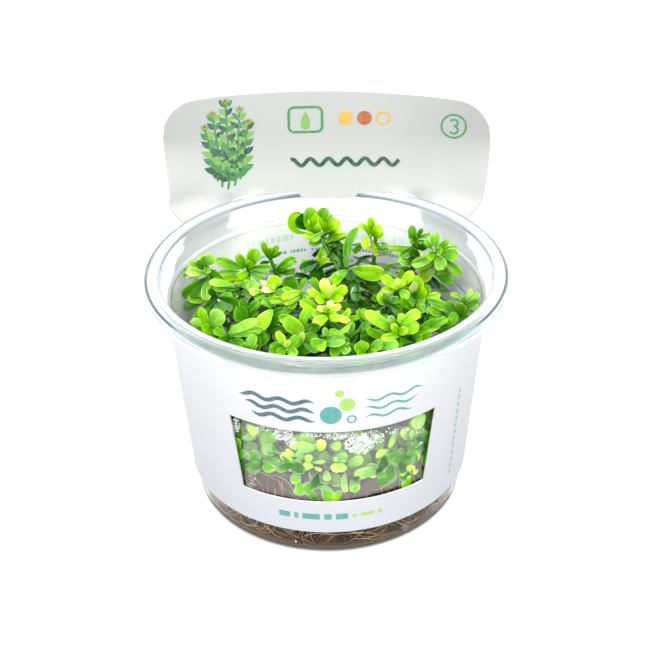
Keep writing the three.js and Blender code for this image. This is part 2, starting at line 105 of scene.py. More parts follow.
# Shoots
STEM_RADIUS = 0.8
BASE_SPREAD = 0.84
BASE_LEAN = 8
STEM_RISE_SHARE = 0.6
STEM_LEAN_SHARE = 0.35
LEAF_WIDTH_RATIO = 0.54
LEAF_THICKNESS = 0.7
CLEARANCE = 0.3
STEM_CLEARANCE = 0.8
LEAF_CLEARANCE = 0.6
PAIR_DROP = [0.8, 2.6, 5.4, 9, 13]
PAIR_TILT = [36, 56, 70, 78, 84]
PAIR_LENGTH = [0.66, 0.94, 1.05, 1.05, 1]
PAIR_BEND = [-0.04, 0.06, 0.14, 0.2, 0.24]
LOW_SHOOT_TOP = 50
SUNLIT_SHOOTS = (1, 2, 3, 6, 7)
STEM_STEPS = 26
STEM_SIDES = 9
STEM_SUNK = 2.2
DEEP_LEAF_STEP = 3.4
EXTRA_WALL_LEAVES = 90

# Fine leaves: places across them, points along them, thickness at the middle and radius of the stalk
LEAF_ACROSS = np.array([-1.0, -0.93, -0.75, -0.45, -0.15, 0, 0.15, 0.45, 0.75, 0.93, 1.0])
LEAF_STEPS = 13
LEAF_BODY = 0.31
STALK_RADIUS = 0.3

# Haze and drops on the wall; anything larger than the largest drop is a bubble
MIST_COLUMNS = 60
MIST_ROWS = 26
LARGEST_DROP = 1.2
DROP_SIDES = 6

# Seeds of the random draws; the first is the one that the solids use
SOLIDS_SEED = 20240
ROOT_SEED = 7
SHOOT_SEED = 11
WALL_LEAF_SEED = 21
DROP_SEED = 5
SPRIG_SEED = 3
DASH_SEED = 9

# Shoots: tip x, y, z, leaf length, turn of the top pair in degrees, leaf pairs, lean of the tip along
# x and y, and where it matters the foot's x and y
SHOOT_TIPS = [
    [-4, 31, 70, 6.6, 20, 4, -0.3, 0.3, 10.5, 13], [0.5, 30, 69, 6.8, 65, 4, -0.1, 0.3, 13, 17.5],
    [15, 27, 68, 6.6, 75, 4, 0, -0.1], [7, 8, 62.5, 9, 30, 5, 0, -0.2, 5, 4],
    [-2.5, 22, 59, 7.6, 40, 3, 0, -0.3], [26.5, 22, 68, 7.4, 15, 4, -0.1, 0],
    [31.5, 12, 67, 8, 50, 4, 0.2, -0.6], [37, -10, 63, 7, 45, 3, -0.2, -0.3],
    [20, -4, 65, 7.4, 60, 4, 0, -0.2], [25, -2, 63, 7.2, 15, 4, 0.1, -0.2],
    [15.5, -10, 64, 6.6, 80, 3, -0.1, -0.3], [28.5, -8.5, 62.5, 8, 65, 4, 0.3, -0.2],
    [19, -23, 63, 8.8, 70, 4, 0, -0.2], [26, -20, 61, 8, 20, 3, 0.3, -0.2],
    [0, -6, 64, 7.6, 45, 4, 0, -0.15], [0.5, -14.5, 63.5, 7.4, 10, 4, 0.1, -0.35],
    [-8, -2, 62.5, 7.6, 75, 3, -0.4, -0.1], [-6.5, -24.5, 62, 9, 35, 4, 0, -0.3],
    [-11.5, -30, 62, 7.4, 75, 3, 0, -0.2], [1, -30.5, 64, 7.8, 15, 3, 0, -0.2],
    [9.5, -30.5, 62.5, 7.6, 55, 3, 0, -0.2], [-34.5, 10, 66, 7.6, 20, 4, -0.3, -0.1],
    [-22.5, 13.5, 63, 8.2, 35, 4, 0, -0.1], [-17, 18.5, 64.5, 6.8, 55, 4, -0.35, 0],
    [-16, 2, 62, 7.6, 15, 4, -0.4, 0], [-30.5, -3, 61.5, 8, 60, 4, -0.1, -0.1],
    [-32, -14.5, 60.5, 8.4, 40, 3, -0.1, -0.1], [-25.5, -19, 60, 9.2, 5, 4, -0.1, -0.2],
    [-23, -8, 60.5, 8, 30, 3, 0, 0], [-15.5, -13, 63, 8.4, 65, 4, 0.1, -0.1],
    [-25.5, 4.5, 62, 7.6, 10, 3, -0.2, 0], [5.5, -20, 59.5, 7.6, 60, 3, 0, 0],
    [11.5, -16.5, 61, 7.4, 25, 3, 0.1, 0], [-7.5, -11.5, 57.5, 7.6, 80, 3, 0, 0],
    [33, -15.5, 59, 7.2, 50, 3, 0.2, 0], [11, 1, 57, 8, 10, 3, 0, 0], [-20.5, -27, 60, 7.6, 65, 3, 0, 0],
    [20, 8, 58, 8, 30, 3, 0, 0], [-9, 8, 57, 8, 20, 3, 0, 0], [17.5, -30, 61, 7.4, 35, 3, 0, 0],
    [-20.5, -32, 44, 7, 65, 3, 0, 0], [-11, -34.5, 42.5, 7.2, 20, 3, 0, 0],
    [-1.5, -35.5, 42.5, 7.4, 55, 3, 0, 0], [7.5, -35, 41.5, 7.2, 15, 3, 0, 0],
    [16.5, -32, 43.5, 7.4, 75, 3, 0, 0], [25, -27, 46, 7.4, 40, 3, 0, 0],
]

# Ways in which a leaf gives way to its neighbours: change of tilt, change of turn, share of length
LEAF_MOVES = [
    [0, 0, 1], [-14, 0, 1], [12, 0, 1], [0, 22, 1], [0, -22, 1], [-28, 0, 0.95], [-14, 24, 0.9],
    [-14, -24, 0.9], [-20, 0, 0.75], [0, 35, 0.75], [0, -35, 0.75], [-35, 0, 0.7],
]

# Single leaves read off the photograph, by shoot. A row holds the foot's and the tip's picture place,
# the width in pixels, how much nearer the tip is in millimetres, the tone from dark to pale, and where
# it matters the hue (1 bluish, -1 brownish) and the arch as a share of the length
SEEN_LEAVES = {
    1: [
        (310, 225, 309, 207, 14, 1, 0.42, 0.3, 0.2), (310, 229, 297, 216, 17, -0.6, 0.12),
        (303, 229, 309, 220, 5, 2, 0.74), (312, 238, 307, 214, 9, 0, 0.42),
        (313, 238, 315, 213, 7, 0, 0.5), (318, 238, 304, 234, 8, 1, 0.62),
        (320, 233, 317, 224, 6, 1, 0.62), (350, 271, 327, 246, 8, -9, 0.2, 0.4),
        (345, 264, 329, 252, 4, -3, 0.45, 0.8), (323, 246, 330, 252, 5, 1, 0.3),
    ],
    2: [
        (322, 221, 327, 208, 13, 2, 0.42, 0.3, 0.2), (326, 234, 320, 213, 8, 0, 0.5),
        (329, 234, 339, 220, 15, 1, 0.55, 0, 0.12), (328, 237, 347, 234, 7, 1, 0.62, 0, 0.1),
        (325, 236, 331, 214, 7, -1, 0.45), (327, 231, 311, 241, 7, 2, 0.5, 0.4),
        (326, 238, 309, 244, 8, 1, 0.38), (323, 242, 321, 267, 9, 3, 0.55, 0, 0.12),
        (325, 240, 342, 245, 7, 0, 0.3), (330, 247, 348, 247, 7, -2, 0.22),
        (326, 239, 333, 243, 7, 2, 0.45),
    ],
    3: [
        (373, 230, 369, 217, 8, 1, 0.56, 0, 0.15), (374, 237, 381, 225, 10, 1, 0.56, 0, 0.2),
        (374, 238, 384, 234, 7, 1, 0.58), (372, 236, 371, 222, 9, 0, 0.6),
        (361, 233, 368, 249, 9, 2, 0.72, 0, 0.1), (371, 240, 377, 256, 6, 1, 0.6, -0.4),
        (376, 245, 387, 249, 10, 1, 0.38, 0, 0.1), (363, 241, 354, 253, 6, 0, 0.28),
        (374, 240, 378, 252, 5, 0, 0.35),
    ],
    4: [
        (350, 265, 384, 274, 16, 1, 0.58, -0.1, 0.24), (349, 267, 332, 284, 11, 2, 0.5, 0, 0.1),
        (352, 277, 340, 283, 7, 1, 0.28), (351, 277, 343, 300, 8, 2, 0.2, -0.7),
        (355, 276, 357, 302, 11, 5, 0.3, 0.8), (354, 270, 380, 289, 10, 2, 0.15, 0.4, 0.1),
        (362, 267, 383, 281, 7, 0, 0.28), (358, 282, 379, 292, 9, 1, 0.22, -0.7),
        (360, 290, 386, 309, 9, 2, 0.14, -0.3), (357, 300, 344, 308, 10, 2, 0.36, 0.4),
        (356, 300, 369, 307, 9, 2, 0.24), (352, 268, 350, 281, 9, 3, 0.1, 0.5),
        (354, 296, 363, 311, 8, 2, 0.2), (352, 272, 362, 282, 8, 3, 0.12, 0.4),
        (356, 304, 372, 302, 8, 1, 0.3, -0.5),
    ],
    5: [
        (318, 262, 300, 269, 12, 1, 0.26, 0.6, 0.08), (316, 265, 301, 261, 6, -1, 0.55),
        (318, 264, 321, 286, 14, 2, 0.27), (319, 263, 329, 259, 10, 0, 0.62, -0.3),
        (318, 266, 311, 277, 8, 1, 0.3),
    ],
    6: [
        (415, 240, 412, 225, 9, 1, 0.36, 0.6, 0.16), (417, 238, 422, 228, 5, 0, 0.32, 0.5),
        (418, 238, 431, 234, 5, 1, 0.42), (417, 237, 408, 237, 6, 1, 0.32),
        (418, 240, 429, 243, 5, 1, 0.34), (416, 240, 410, 243, 5, 0, 0.42),
        (420, 249, 412, 242, 9, 0, 0.12), (420, 251, 427, 242, 8, 0, 0.14),
        (418, 248, 401, 256, 10, 1, 0.3), (412, 247, 387, 247, 5, -1, 0.52, 0.4),
        (409, 250, 392, 252, 4, -1, 0.58, 0.4), (419, 262, 398, 259, 14, 1, 0.44, 0.5, 0.1),
        (401, 261, 384, 267, 3, 0, 0.4), (412, 268, 397, 270, 6, 1, 0.5),
        (421, 250, 422, 256, 3, 2, 0.78, -0.3), (420, 256, 409, 250, 9, 2, 0.22),
    ],
    7: [
        (435, 249, 436, 233, 10, -2, 0.42), (433, 250, 425, 240, 6, -1, 0.4),
        (436, 250, 449, 240, 7, -1, 0.4), (438, 251, 457, 247, 7, -1, 0.46, -0.3),
        (440, 254, 458, 254, 13, 1, 0.46, 0.5, 0.06), (441, 258, 461, 275, 10, 2, 0.4, 0.2),
        (437, 256, 444, 270, 13, 5, 0.5, 0.6), (434, 258, 411, 264, 10, 2, 0.55, 0.5, 0.08),
        (436, 262, 421, 281, 14, 1, 0.4, -0.4), (438, 264, 448, 281, 14, 1, 0.4, -0.4),
        (433, 250, 434, 246, 4, 3, 0.85), (434, 252, 427, 259, 9, 3, 0.48),
        (436, 252, 443, 250, 8, 3, 0.52), (436, 260, 414, 268, 10, 0, 0.38),
    ],
    8: [
        (460, 313, 479, 302, 18, -1, 0.36, -0.2, 0.05), (461, 315, 461, 302, 12, 3, 0.58, 0.2, 0.02),
        (463, 297, 450, 294, 5, -1, 0.56), (466, 299, 472, 290, 5, -1, 0.66),
        (474, 300, 479, 293, 5, -1, 0.56), (458, 314, 445, 302, 10, 1, 0.38),
        (462, 316, 474, 312, 9, 1, 0.3), (459, 318, 467, 322, 8, 2, 0.36),
        (458, 313, 466, 297, 8, -1, 0.25), (455, 318, 444, 322, 8, 2, 0.4),
    ],
    9: [
        (398, 288, 381, 277, 10, 1, 0.66, 0, 0.08), (400, 288, 413, 271, 10, 0, 0.66),
        (398, 288, 397, 278, 6, 1, 0.8), (395, 291, 381, 289, 7, 2, 0.82),
        (399, 290, 409, 298, 10, 2, 0.56), (402, 276, 381, 276, 3, -1, 0.3),
        (399, 289, 391, 284, 7, 3, 0.76), (399, 288, 405, 279, 7, 1, 0.8),
    ],
    10: [
        (413, 293, 413, 282, 9, 3, 0.97, 0, 0.02), (418, 296, 416, 275, 9, 0, 0.62),
        (421, 298, 420, 278, 8, -1, 0.66), (423, 298, 428, 285, 10, -1, 0.42),
        (420, 300, 424, 287, 10, 1, 0.66), (424, 298, 441, 294, 7, 1, 0.68),
        (412, 296, 403, 288, 9, 0, 0.5), (416, 298, 407, 305, 10, 2, 0.52),
        (417, 298, 424, 303, 9, 2, 0.5),
    ],
    11: [
        (388, 304, 388, 294, 8, 2, 0.5, 0.9), (390, 304, 401, 313, 10, 1, 0.3),
        (386, 304, 375, 311, 9, 1, 0.2), (389, 300, 399, 300, 8, -1, 0.35),
        (386, 299, 377, 305, 8, -1, 0.15),
    ],
    12: [
        (424, 299, 447, 308, 10, 1, 0.52, 0.3, 0.08), (456, 318, 427, 309, 10, 2, 0.5, 0.1, 0.08),
        (426, 303, 431, 313, 9, 2, 0.35), (428, 303, 441, 300, 7, -1, 0.6),
        (404, 311, 429, 308, 10, 2, 0.46, 0.1, 0.08), (408, 308, 401, 298, 9, 1, 0.5),
        (440, 312, 450, 320, 8, 2, 0.35), (424, 310, 414, 318, 9, 2, 0.38),
        (436, 316, 424, 322, 8, 3, 0.3),
    ],
    13: [
        (397, 332, 365, 311, 12, 1, 0.61, 0.1, 0.1), (400, 322, 420, 312, 11, -1, 0.60),
        (399, 331, 419, 324, 15, 1, 0.6, 0.1, 0.06), (395, 325, 388, 316, 8, 2, 0.56, 0.9),
        (399, 331, 402, 313, 8, -1, 0.66), (386, 325, 370, 318, 10, 0, 0.5, 0.7),
        (388, 339, 366, 328, 9, 2, 0.52, 0, 0.08), (400, 335, 380, 338, 8, 3, 0.7),
        (399, 316, 380, 316, 4, -1, 0.36), (399, 333, 391, 324, 8, 3, 0.72),
        (398, 334, 408, 328, 9, 3, 0.74),
    ],
    14: [
        (402, 334, 441, 325, 10, 1, 0.52, 0.2, 0.08), (412, 331, 440, 320, 9, 0, 0.4),
        (410, 337, 432, 333, 9, 2, 0.45), (405, 338, 394, 345, 10, 3, 0.46),
        (430, 326, 448, 318, 8, 1, 0.46), (414, 336, 422, 340, 9, 3, 0.5),
    ],
    15: [
        (327, 299, 323, 278, 12, -1, 0.82), (329, 299, 335, 284, 6, 0, 0.76),
        (330, 300, 346, 286, 11, 0, 0.72, 0, 0.1), (325, 300, 308, 289, 8, 0, 0.78),
        (323, 298, 314, 284, 5, -1, 0.72), (317, 291, 313, 277, 8, -1, 0.5, 0.4),
        (318, 310, 300, 300, 11, 2, 0.7, 0, 0.1), (327, 299, 331, 287, 7, 2, 0.9),
        (331, 301, 344, 298, 7, 2, 0.74), (326, 301, 315, 300, 8, 3, 0.7), (328, 302, 334, 304, 7, 3, 0.8),
    ],
    16: [
        (327, 312, 317, 307, 6, 0, 0.86), (328, 309, 331, 301, 8, -1, 0.92),
        (328, 312, 341, 305, 7, 0, 0.82), (328, 315, 351, 322, 7, 2, 0.8, 0, 0.08),
        (327, 316, 336, 311, 7, 1, 0.72), (350, 321, 359, 316, 6, 1, 0.6),
        (328, 316, 312, 324, 11, 4, 0.76, 0, 0.1), (326, 317, 310, 312, 8, 1, 0.56),
        (336, 318, 345, 311, 6, -1, 0.5), (327, 313, 323, 305, 6, 2, 0.8),
        (328, 318, 340, 319, 7, 3, 0.72),
    ],
    17: [
        (308, 289, 281, 298, 8, 1, 0.73, 0, 0.08), (305, 293, 283, 303, 8, 2, 0.66),
        (300, 295, 282, 288, 6, -1, 0.52), (297, 298, 289, 309, 9, 2, 0.5),
        (297, 297, 311, 301, 8, 1, 0.46), (292, 300, 269, 300, 8, 1, 0.62),
        (300, 293, 312, 296, 6, 1, 0.6), (296, 304, 283, 312, 9, 2, 0.4),
    ],
    18: [
        (304, 335, 285, 317, 16, 1, 0.6, 0.1, 0.08), (297, 353, 317, 335, 19, 1, 0.48, 0, 0.1),
        (299, 346, 303, 331, 7, 2, 0.78), (300, 314, 279, 319, 10, -1, 0.5),
        (296, 319, 312, 307, 10, -1, 0.54), (302, 341, 319, 351, 10, 2, 0.4),
        (308, 320, 318, 330, 10, -1, 0.3), (300, 336, 291, 347, 10, 2, 0.5),
    ],
    19: [
        (284, 351, 270, 344, 13, 1, 0.5, 0.9, 0.04), (287, 347, 276, 332, 8, -1, 0.66),
        (288, 348, 286, 340, 8, 2, 0.86, 0, 0.02), (290, 347, 295, 357, 11, 2, 0.58),
        (286, 348, 276, 355, 10, 3, 0.5), (288, 345, 299, 337, 9, 0, 0.5),
        (285, 345, 281, 334, 6, -1, 0.72), (284, 350, 268, 352, 9, 3, 0.42),
    ],
    20: [
        (319, 342, 346, 340, 14, 1, 0.46, 0.7, 0.05), (325, 338, 319, 351, 10, 2, 0.6),
        (340, 344, 349, 353, 10, 2, 0.45), (333, 346, 336, 357, 10, 3, 0.4),
        (322, 340, 310, 344, 9, 2, 0.5), (330, 334, 322, 330, 7, 0, 0.5, 0.6),
        (338, 338, 350, 342, 8, 1, 0.35),
    ],
    21: [
        (361, 355, 361, 340, 15, 2, 0.62, 0.1, 0.05), (370, 351, 383, 342, 11, 1, 0.5, 0.8),
        (383, 348, 399, 344, 10, 1, 0.5, 0.3), (366, 352, 357, 357, 11, 3, 0.58),
        (352, 323, 370, 326, 8, -3, 0.38, 0.3), (368, 352, 378, 354, 9, 3, 0.5),
        (356, 350, 346, 346, 9, 1, 0.35),
    ],
    22: [
        (204, 268, 199, 256, 8, -1, 0.75, 0.3), (205, 264, 213, 256, 13, -1, 0.62, 0.2, 0.06),
        (204, 271, 206, 256, 9, 1, 0.38, 0.5), (203, 270, 197, 260, 8, 1, 0.42),
        (200, 267, 188, 262, 6, 0, 0.62), (207, 265, 207, 274, 7, 2, 0.5),
        (204, 274, 186, 271, 9, 1, 0.74, 0.4, 0.06), (200, 275, 183, 270, 7, -1, 0.4),
        (200, 276, 183, 276, 6, 0, 0.36), (208, 268, 222, 280, 7, 0, 0.44, 0.3),
        (204, 279, 184, 297, 15, 1, 0.36, 0, 0.1), (206, 281, 206, 301, 11, 4, 0.55, 0.2, 0.1),
        (203, 305, 187, 297, 8, 2, 0.62, 0.2), (200, 302, 184, 309, 11, 1, 0.28),
        (209, 284, 218, 293, 6, 0, 0.2), (205, 303, 214, 304, 6, 1, 0.3), (203, 286, 192, 282, 10, 0, 0.3),
        (206, 296, 212, 303, 8, 2, 0.25),
    ],
    23: [
        (244, 268, 216, 259, 11, 0, 0.58, 0.3, 0.06), (247, 268, 237, 254, 9, -1, 0.5),
        (248, 268, 247, 259, 6, 0, 0.5), (249, 268, 257, 249, 14, -1, 0.5, 0, 0.05),
        (249, 269, 271, 268, 9, 0, 0.46), (250, 270, 238, 278, 9, 1, 0.64),
        (242, 272, 219, 273, 7, -1, 0.6, 0.5), (244, 277, 221, 279, 9, 0, 0.66),
        (245, 276, 256, 291, 13, 3, 0.6, 0, 0.1), (250, 272, 263, 278, 8, 1, 0.42),
        (247, 269, 252, 261, 8, 1, 0.55), (246, 280, 232, 283, 7, 2, 0.62),
    ],
    24: [
        (268, 258, 263, 242, 7, 0, 0.5), (269, 258, 279, 246, 7, 0, 0.42, 0.3),
        (270, 259, 282, 252, 4, 1, 0.3), (269, 262, 260, 264, 6, 1, 0.36),
        (275, 272, 295, 258, 10, -1, 0.42, 0, 0.08), (276, 271, 288, 270, 7, 1, 0.36),
        (281, 289, 303, 279, 7, 0, 0.33, 0, 0.08), (280, 287, 271, 292, 6, 1, 0.36),
        (268, 258, 271, 247, 5, 1, 0.5),
    ],
    25: [
        (268, 289, 278, 276, 14, 0, 0.69, 0, 0.06), (267, 289, 263, 280, 6, 0, 0.92),
        (275, 291, 261, 290, 6, 2, 0.98), (265, 294, 249, 291, 8, 1, 0.73, 0.4),
        (270, 291, 254, 298, 7, 2, 0.5), (268, 294, 277, 301, 8, 2, 0.6),
        (262, 298, 250, 310, 9, 1, 0.6, 0.3), (272, 291, 286, 293, 7, 0, 0.5),
        (270, 290, 274, 284, 8, 2, 0.8), (268, 296, 258, 303, 8, 2, 0.5),
    ],
    26: [
        (216, 298, 239, 307, 15, 1, 0.26, 0.1, 0.08), (217, 297, 209, 289, 7, 0, 0.2),
        (219, 300, 222, 313, 10, 4, 0.3), (216, 300, 204, 310, 8, 1, 0.26),
        (218, 296, 233, 296, 7, -1, 0.4), (220, 304, 234, 313, 10, 2, 0.32),
    ],
    27: [
        (208, 330, 200, 307, 9, 0, 0.6), (212, 329, 221, 310, 17, 0, 0.58, 0.5, 0.04),
        (199, 326, 193, 318, 9, 1, 0.72, 0.6), (200, 325, 196, 312, 9, -1, 0.36),
        (214, 333, 201, 326, 9, 2, 0.55), (222, 338, 208, 331, 8, 2, 0.46),
        (210, 330, 224, 328, 9, 2, 0.42), (206, 330, 195, 331, 8, 2, 0.4),
    ],
    28: [
        (226, 334, 258, 320, 10, 0, 0.58, 0.4, 0.06), (227, 336, 263, 329, 10, 1, 0.5, 0, 0.06),
        (240, 341, 267, 335, 18, 2, 0.3, 0.2, 0.08), (229, 341, 249, 348, 8, 3, 0.5, 0.4),
        (226, 335, 213, 330, 8, 1, 0.46), (232, 338, 246, 347, 9, 4, 0.4),
        (230, 335, 238, 326, 9, -1, 0.36), (228, 338, 218, 340, 8, 3, 0.4),
    ],
    29: [
        (247, 321, 236, 307, 14, 1, 0.46, 0.3, 0.06), (248, 318, 258, 311, 9, 0, 0.3),
        (246, 312, 240, 299, 8, -1, 0.4), (247, 312, 259, 301, 9, 0, 0.36),
        (246, 316, 233, 318, 9, 2, 0.34), (249, 319, 259, 323, 9, 2, 0.26),
    ],
    30: [
        (275, 307, 259, 329, 14, 2, 0.68, 0.1, 0.08), (272, 306, 262, 299, 8, -1, 0.5),
        (268, 322, 281, 315, 9, 0, 0.35), (265, 326, 284, 331, 11, 2, 0.3),
        (270, 330, 261, 343, 11, 3, 0.42, 0.3), (284, 324, 275, 341, 10, 2, 0.42, 0.5),
        (272, 312, 284, 310, 8, 1, 0.38),
    ],
    31: [
        (236, 285, 209, 282, 8, 0, 0.6, 0, 0.05), (248, 291, 221, 297, 7, 1, 0.38, 0, 0.05),
        (240, 289, 212, 289, 6, 1, 0.36), (240, 286, 250, 283, 8, 0, 0.5, 0.5),
        (240, 290, 228, 296, 8, 2, 0.35), (242, 290, 252, 297, 8, 2, 0.4),
    ],
}

# Curled leaves seen edge-on: shoot, width in pixels, tone, roll in degrees, and the picture places that
# their middle line passes, each with how much nearer it is in millimetres
CURLED_LEAVES = [

    (1, 9, 0.66, 30, [(307, 233, 0), (299, 233, 0.5), (292, 228, 1),
                     (290, 220, 1), (294, 214, 0.5), (301, 213, 0)]),
    (3, 6, 0.64, 20, [(371, 240, 0), (368, 230, 0), (362, 225, 0.5), (356, 229, 1)]),
    (4, 9, 0.42, 5, [(348, 268, 0), (346, 256, -4), (348, 243, -8), (352, 234, -10), (358, 228, -11)]),
    (11, 7, 0.7, 35, [(386, 305, 0), (381, 302, 1), (379, 297, 1.5), (381, 291, 1)]),
    (16, 7, 0.72, 25, [(336, 318, 0), (343, 317, 0.5), (348, 313, 0), (348, 308, -0.5)]),
    (20, 5, 0.62, 10, [(321, 336, 0), (330, 334, 0), (339, 334, -1), (345, 330, -2), (350, 324, -3)]),
]

# Leaves along the cup's wall behind the window: foot and tip in the picture, width in pixels, depth
# behind the wall in millimetres, tone, and where it matters the hue
WALL_LEAVES = [
    (276, 448, 262, 449, 12, 0.0, 0.42), (293, 460, 281, 453, 8, 0.0, 0.74),
    (296, 456, 286, 449, 5, 0.0, 0.7), (298, 449, 291, 442, 9, 0.0, 0.76),
    (317, 447, 296, 445, 11, 0.0, 0.56), (316, 444, 299, 435, 11, 1.2, 0.52, 0.3),
    (320, 451, 321.5, 439, 9, 0.0, 0.84), (312, 447, 321, 446, 6, 0.2, 0.5),
    (301, 466, 284, 464, 9, 0.0, 0.5), (303, 460, 297, 451, 8, 0.1, 0.52),
    (302, 467, 295, 459, 8, 0.6, 0.5, 0.5), (308, 463, 308.5, 454, 8, 0.0, 0.8),
    (314, 466, 302, 468, 8, 0.0, 0.88), (314, 467, 322, 470, 4, 0.0, 0.74),
    (312, 462, 325, 461, 3.5, 0.3, 0.72, 0.2), (300, 482, 299, 496, 13, 0.0, 0.5),
    (297, 470, 294, 485, 11, 1.0, 0.48, 0.5), (309, 471, 320, 487, 4, 0.5, 0.52, 0.2),
    (315, 481, 305, 495, 13, 1.2, 0.42, 0.4), (322, 484, 328, 503, 13, 0.1, 0.45),
    (326, 470, 328, 481, 8, 0.6, 0.6, 0.7), (262, 462, 248, 466, 16, 1.4, 0.44, 0.6),
    (264, 458, 275, 471, 13, 1.3, 0.44, 0.5), (262, 431, 273, 444, 16, 1.4, 0.48, 0.6),
    (247, 424, 259, 433, 8, 0.2, 0.68), (240, 438, 256, 434, 7, 0.8, 0.47),
    (258, 445, 244, 452, 13, 2.2, 0.42, 0.4), (239, 438, 241, 462, 10, 2.5, 0.3),
    (248, 452, 262, 457, 9, 1.6, 0.46, 0.5), (276, 456, 283, 466, 9, 1.8, 0.36, 0.4),
    (290, 437, 302, 443, 9, 1.0, 0.5, 0.4), (338.5, 463, 333, 471, 10, 0.0, 0.84),
    (339, 462.5, 345, 470.5, 9, 0.0, 0.84), (339, 461, 333, 458, 5, 0.0, 0.72),
    (340, 461, 346, 458, 5, 0.0, 0.72), (332, 460, 348, 455, 9, 0.1, 0.46),
    (346, 464, 363, 458, 10, 0.0, 0.5), (375, 467, 354, 475, 11, 0.0, 0.54),
    (366, 464, 379, 474, 15, 0.8, 0.52, 0.5), (389, 450, 376, 457, 7, 0.3, 0.66, 0.3),
    (400, 466, 412, 454, 12, 0.0, 0.42), (410, 474, 411, 464, 10, 0.0, 0.76),
    (411, 475, 405, 478.5, 6, 0.0, 0.8), (407, 472, 399, 476, 8, 0.1, 0.62),
    (411, 478, 402, 489, 9, 0.0, 0.52), (417, 461, 417.5, 452, 3.5, 0.0, 0.8),
    (418, 469, 413, 474, 3.5, 0.0, 0.82), (425, 414, 412, 427, 12, 0.1, 0.58),
    (422, 427, 413, 441, 13, 0.5, 0.52, 0.2), (421, 440, 416, 450, 8, 0.6, 0.5, 0.2),
    (414, 441, 402, 429, 14, 1.4, 0.54, 0.6), (405, 448, 393, 463, 14, 1.5, 0.5, 0.6),
    (396, 428, 389, 448, 5, 0.9, 0.54, 0.2), (390, 462, 385, 484, 16, 2.0, 0.36, 0.5),
    (345, 472, 346, 493, 7, 0.8, 0.52, 0.3), (352, 478, 356, 493, 11, 1.2, 0.46, 0.4),
    (374, 442, 382, 447, 9, 0.8, 0.3, 0.5), (424, 443, 431, 436, 12, 0.9, 0.52),
    (424, 449, 427, 468, 9, 1.3, 0.42), (425, 468, 422, 481, 7, 1.3, 0.4),
    (432, 413, 427, 433, 10, 2.6, 0.3), (352, 433, 365, 438, 8, 0.8, 0.5),
    (330, 446, 341, 444, 9, 0.6, 0.6, 0.3), (342, 490, 331, 503, 9, 0.2, 0.58),
    (333, 472, 340, 486, 12, 2.2, 0.38, 0.5), (372, 462, 352, 448, 20, 2.6, 0.46, 0.6),
    (330, 455, 318, 458, 14, 2.4, 0.42, 0.7), (385, 436, 372, 441, 10, 2.0, 0.4, 0.6),
    (290, 470, 278, 462, 9, 2.4, 0.36, 0.4), (400, 444, 412, 449, 12, 2.6, 0.36, 0.6),
    (376, 484, 392, 478, 12, 2.6, 0.3, 0.5), (318, 500, 309, 489, 8, 2.4, 0.36, 0.4),
    (236, 416, 241, 437, 11, 1.8, 0.42, 0.4), (430, 406, 434, 424, 12, 1.8, 0.44, 0.4),
    (252, 424, 266, 427, 12, 2.2, 0.42, 0.4),
]

# Condensed drops on the wall: middle in the picture, half its extent, and how many
DROP_FIELDS = [
    (359, 445, 15, 9, 420), (373, 437, 12, 7, 150), (352, 436, 16, 4, 90), (335, 436, 12, 3.5, 90),
    (283, 434, 10, 6, 170), (291, 441, 6, 5, 60), (236, 425, 4, 8, 80), (252, 481, 7, 6, 26),
    (312, 435, 10, 2, 40), (266, 428, 12, 3, 40), (397, 430, 12, 4, 30), (420, 432, 4, 12, 26),
]

# Bubbles against the wall below the card: middle in the picture and half its width
BUBBLES = [
    (405, 527.5, 4.4), (433, 508, 4.2), (440, 500, 3.6), (250, 517, 1.2), (296, 541, 1.0),
]

# Camera, fitted to the photograph: place and directions, with a 36 mm sensor
EYE = np.array([0.0, -314.25, 245.78])
AHEAD = np.array([-0.003388, 0.850389, -0.526144])
UPWARD = np.array([0.017553, 0.526117, 0.850231])
SIDEWAYS = np.cross(AHEAD, UPWARD)
LENS = 72.56
SENSOR_WIDTH = 36
PICTURE_SIZE = 645
FOCAL_PIXELS = LENS / SENSOR_WIDTH * PICTURE_SIZE

# Lamps: name, place in metres, height of the point looked at, width and height, and power
LIGHTS = [
    ("front_key", (0.1, -0.75, 0.75), 0.05, (0.9, 0.5), 5.3),
    ("top_soft", (-0.1, 0.0, 0.95), 0.05, (0.9, 0.9), 4.4),
    ("left_soft", (-0.62, -0.6, 0.42), 0.05, (0.6, 0.6), 2.4),
    ("right_soft", (0.7, -0.45, 0.5), 0.05, (0.5, 0.6), 2.2),
    ("low_front", (0, -0.28, 0.03), 0.04, (0.4, 0.06), 0.02),
    ("back_soft", (0.1, 0.9, 0.45), 0.05, (0.8, 0.5), 2.2),
    ("glint", (-0.22, -0.5, 0.72), 0.05, (0.13, 0.13), 1.1),
    ("back_glint", (0.2, 0.62, 0.7), 0.05, (0.15, 0.15), 1.9),
    ("side_glint", (-0.45, 0.4, 0.72), 0.05, (0.14, 0.14), 1.3),
]

# The floor is painted dark brown within this radius in metres, where it shows through the cup's base: a
# painted shadow under the cup, brown like the gel
BASE_SHADE_RADIUS = 0.0379


# Camera
def aim(thing, right, up, back, place):
    """Stand a camera or a lamp at a place in metres, with its back towards the third direction."""
    thing.matrix_world = Matrix([[right[i], up[i], back[i], place[i]] for i in range(3)] + [[0, 0, 0, 1]])
    bpy.context.collection.objects.link(thing)


def make_camera():
    data = bpy.data.cameras.new("camera")
    data.lens = LENS
    data.sensor_width = SENSOR_WIDTH
    data.clip_start = 0.01
    data.clip_end = 100
    camera = bpy.data.objects.new("camera", data)
    aim(camera, SIDEWAYS, UPWARD, -AHEAD, EYE * MM)
    bpy.context.scene.camera = camera


make_camera()


# Mesh helpers
def unit(vector):
    return vector / np.linalg.norm(vector, axis=-1, keepdims=True)


def full_turn(count):
    """Evenly spread angles of one full turn."""
    return 2 * np.pi * np.arange(count) / count


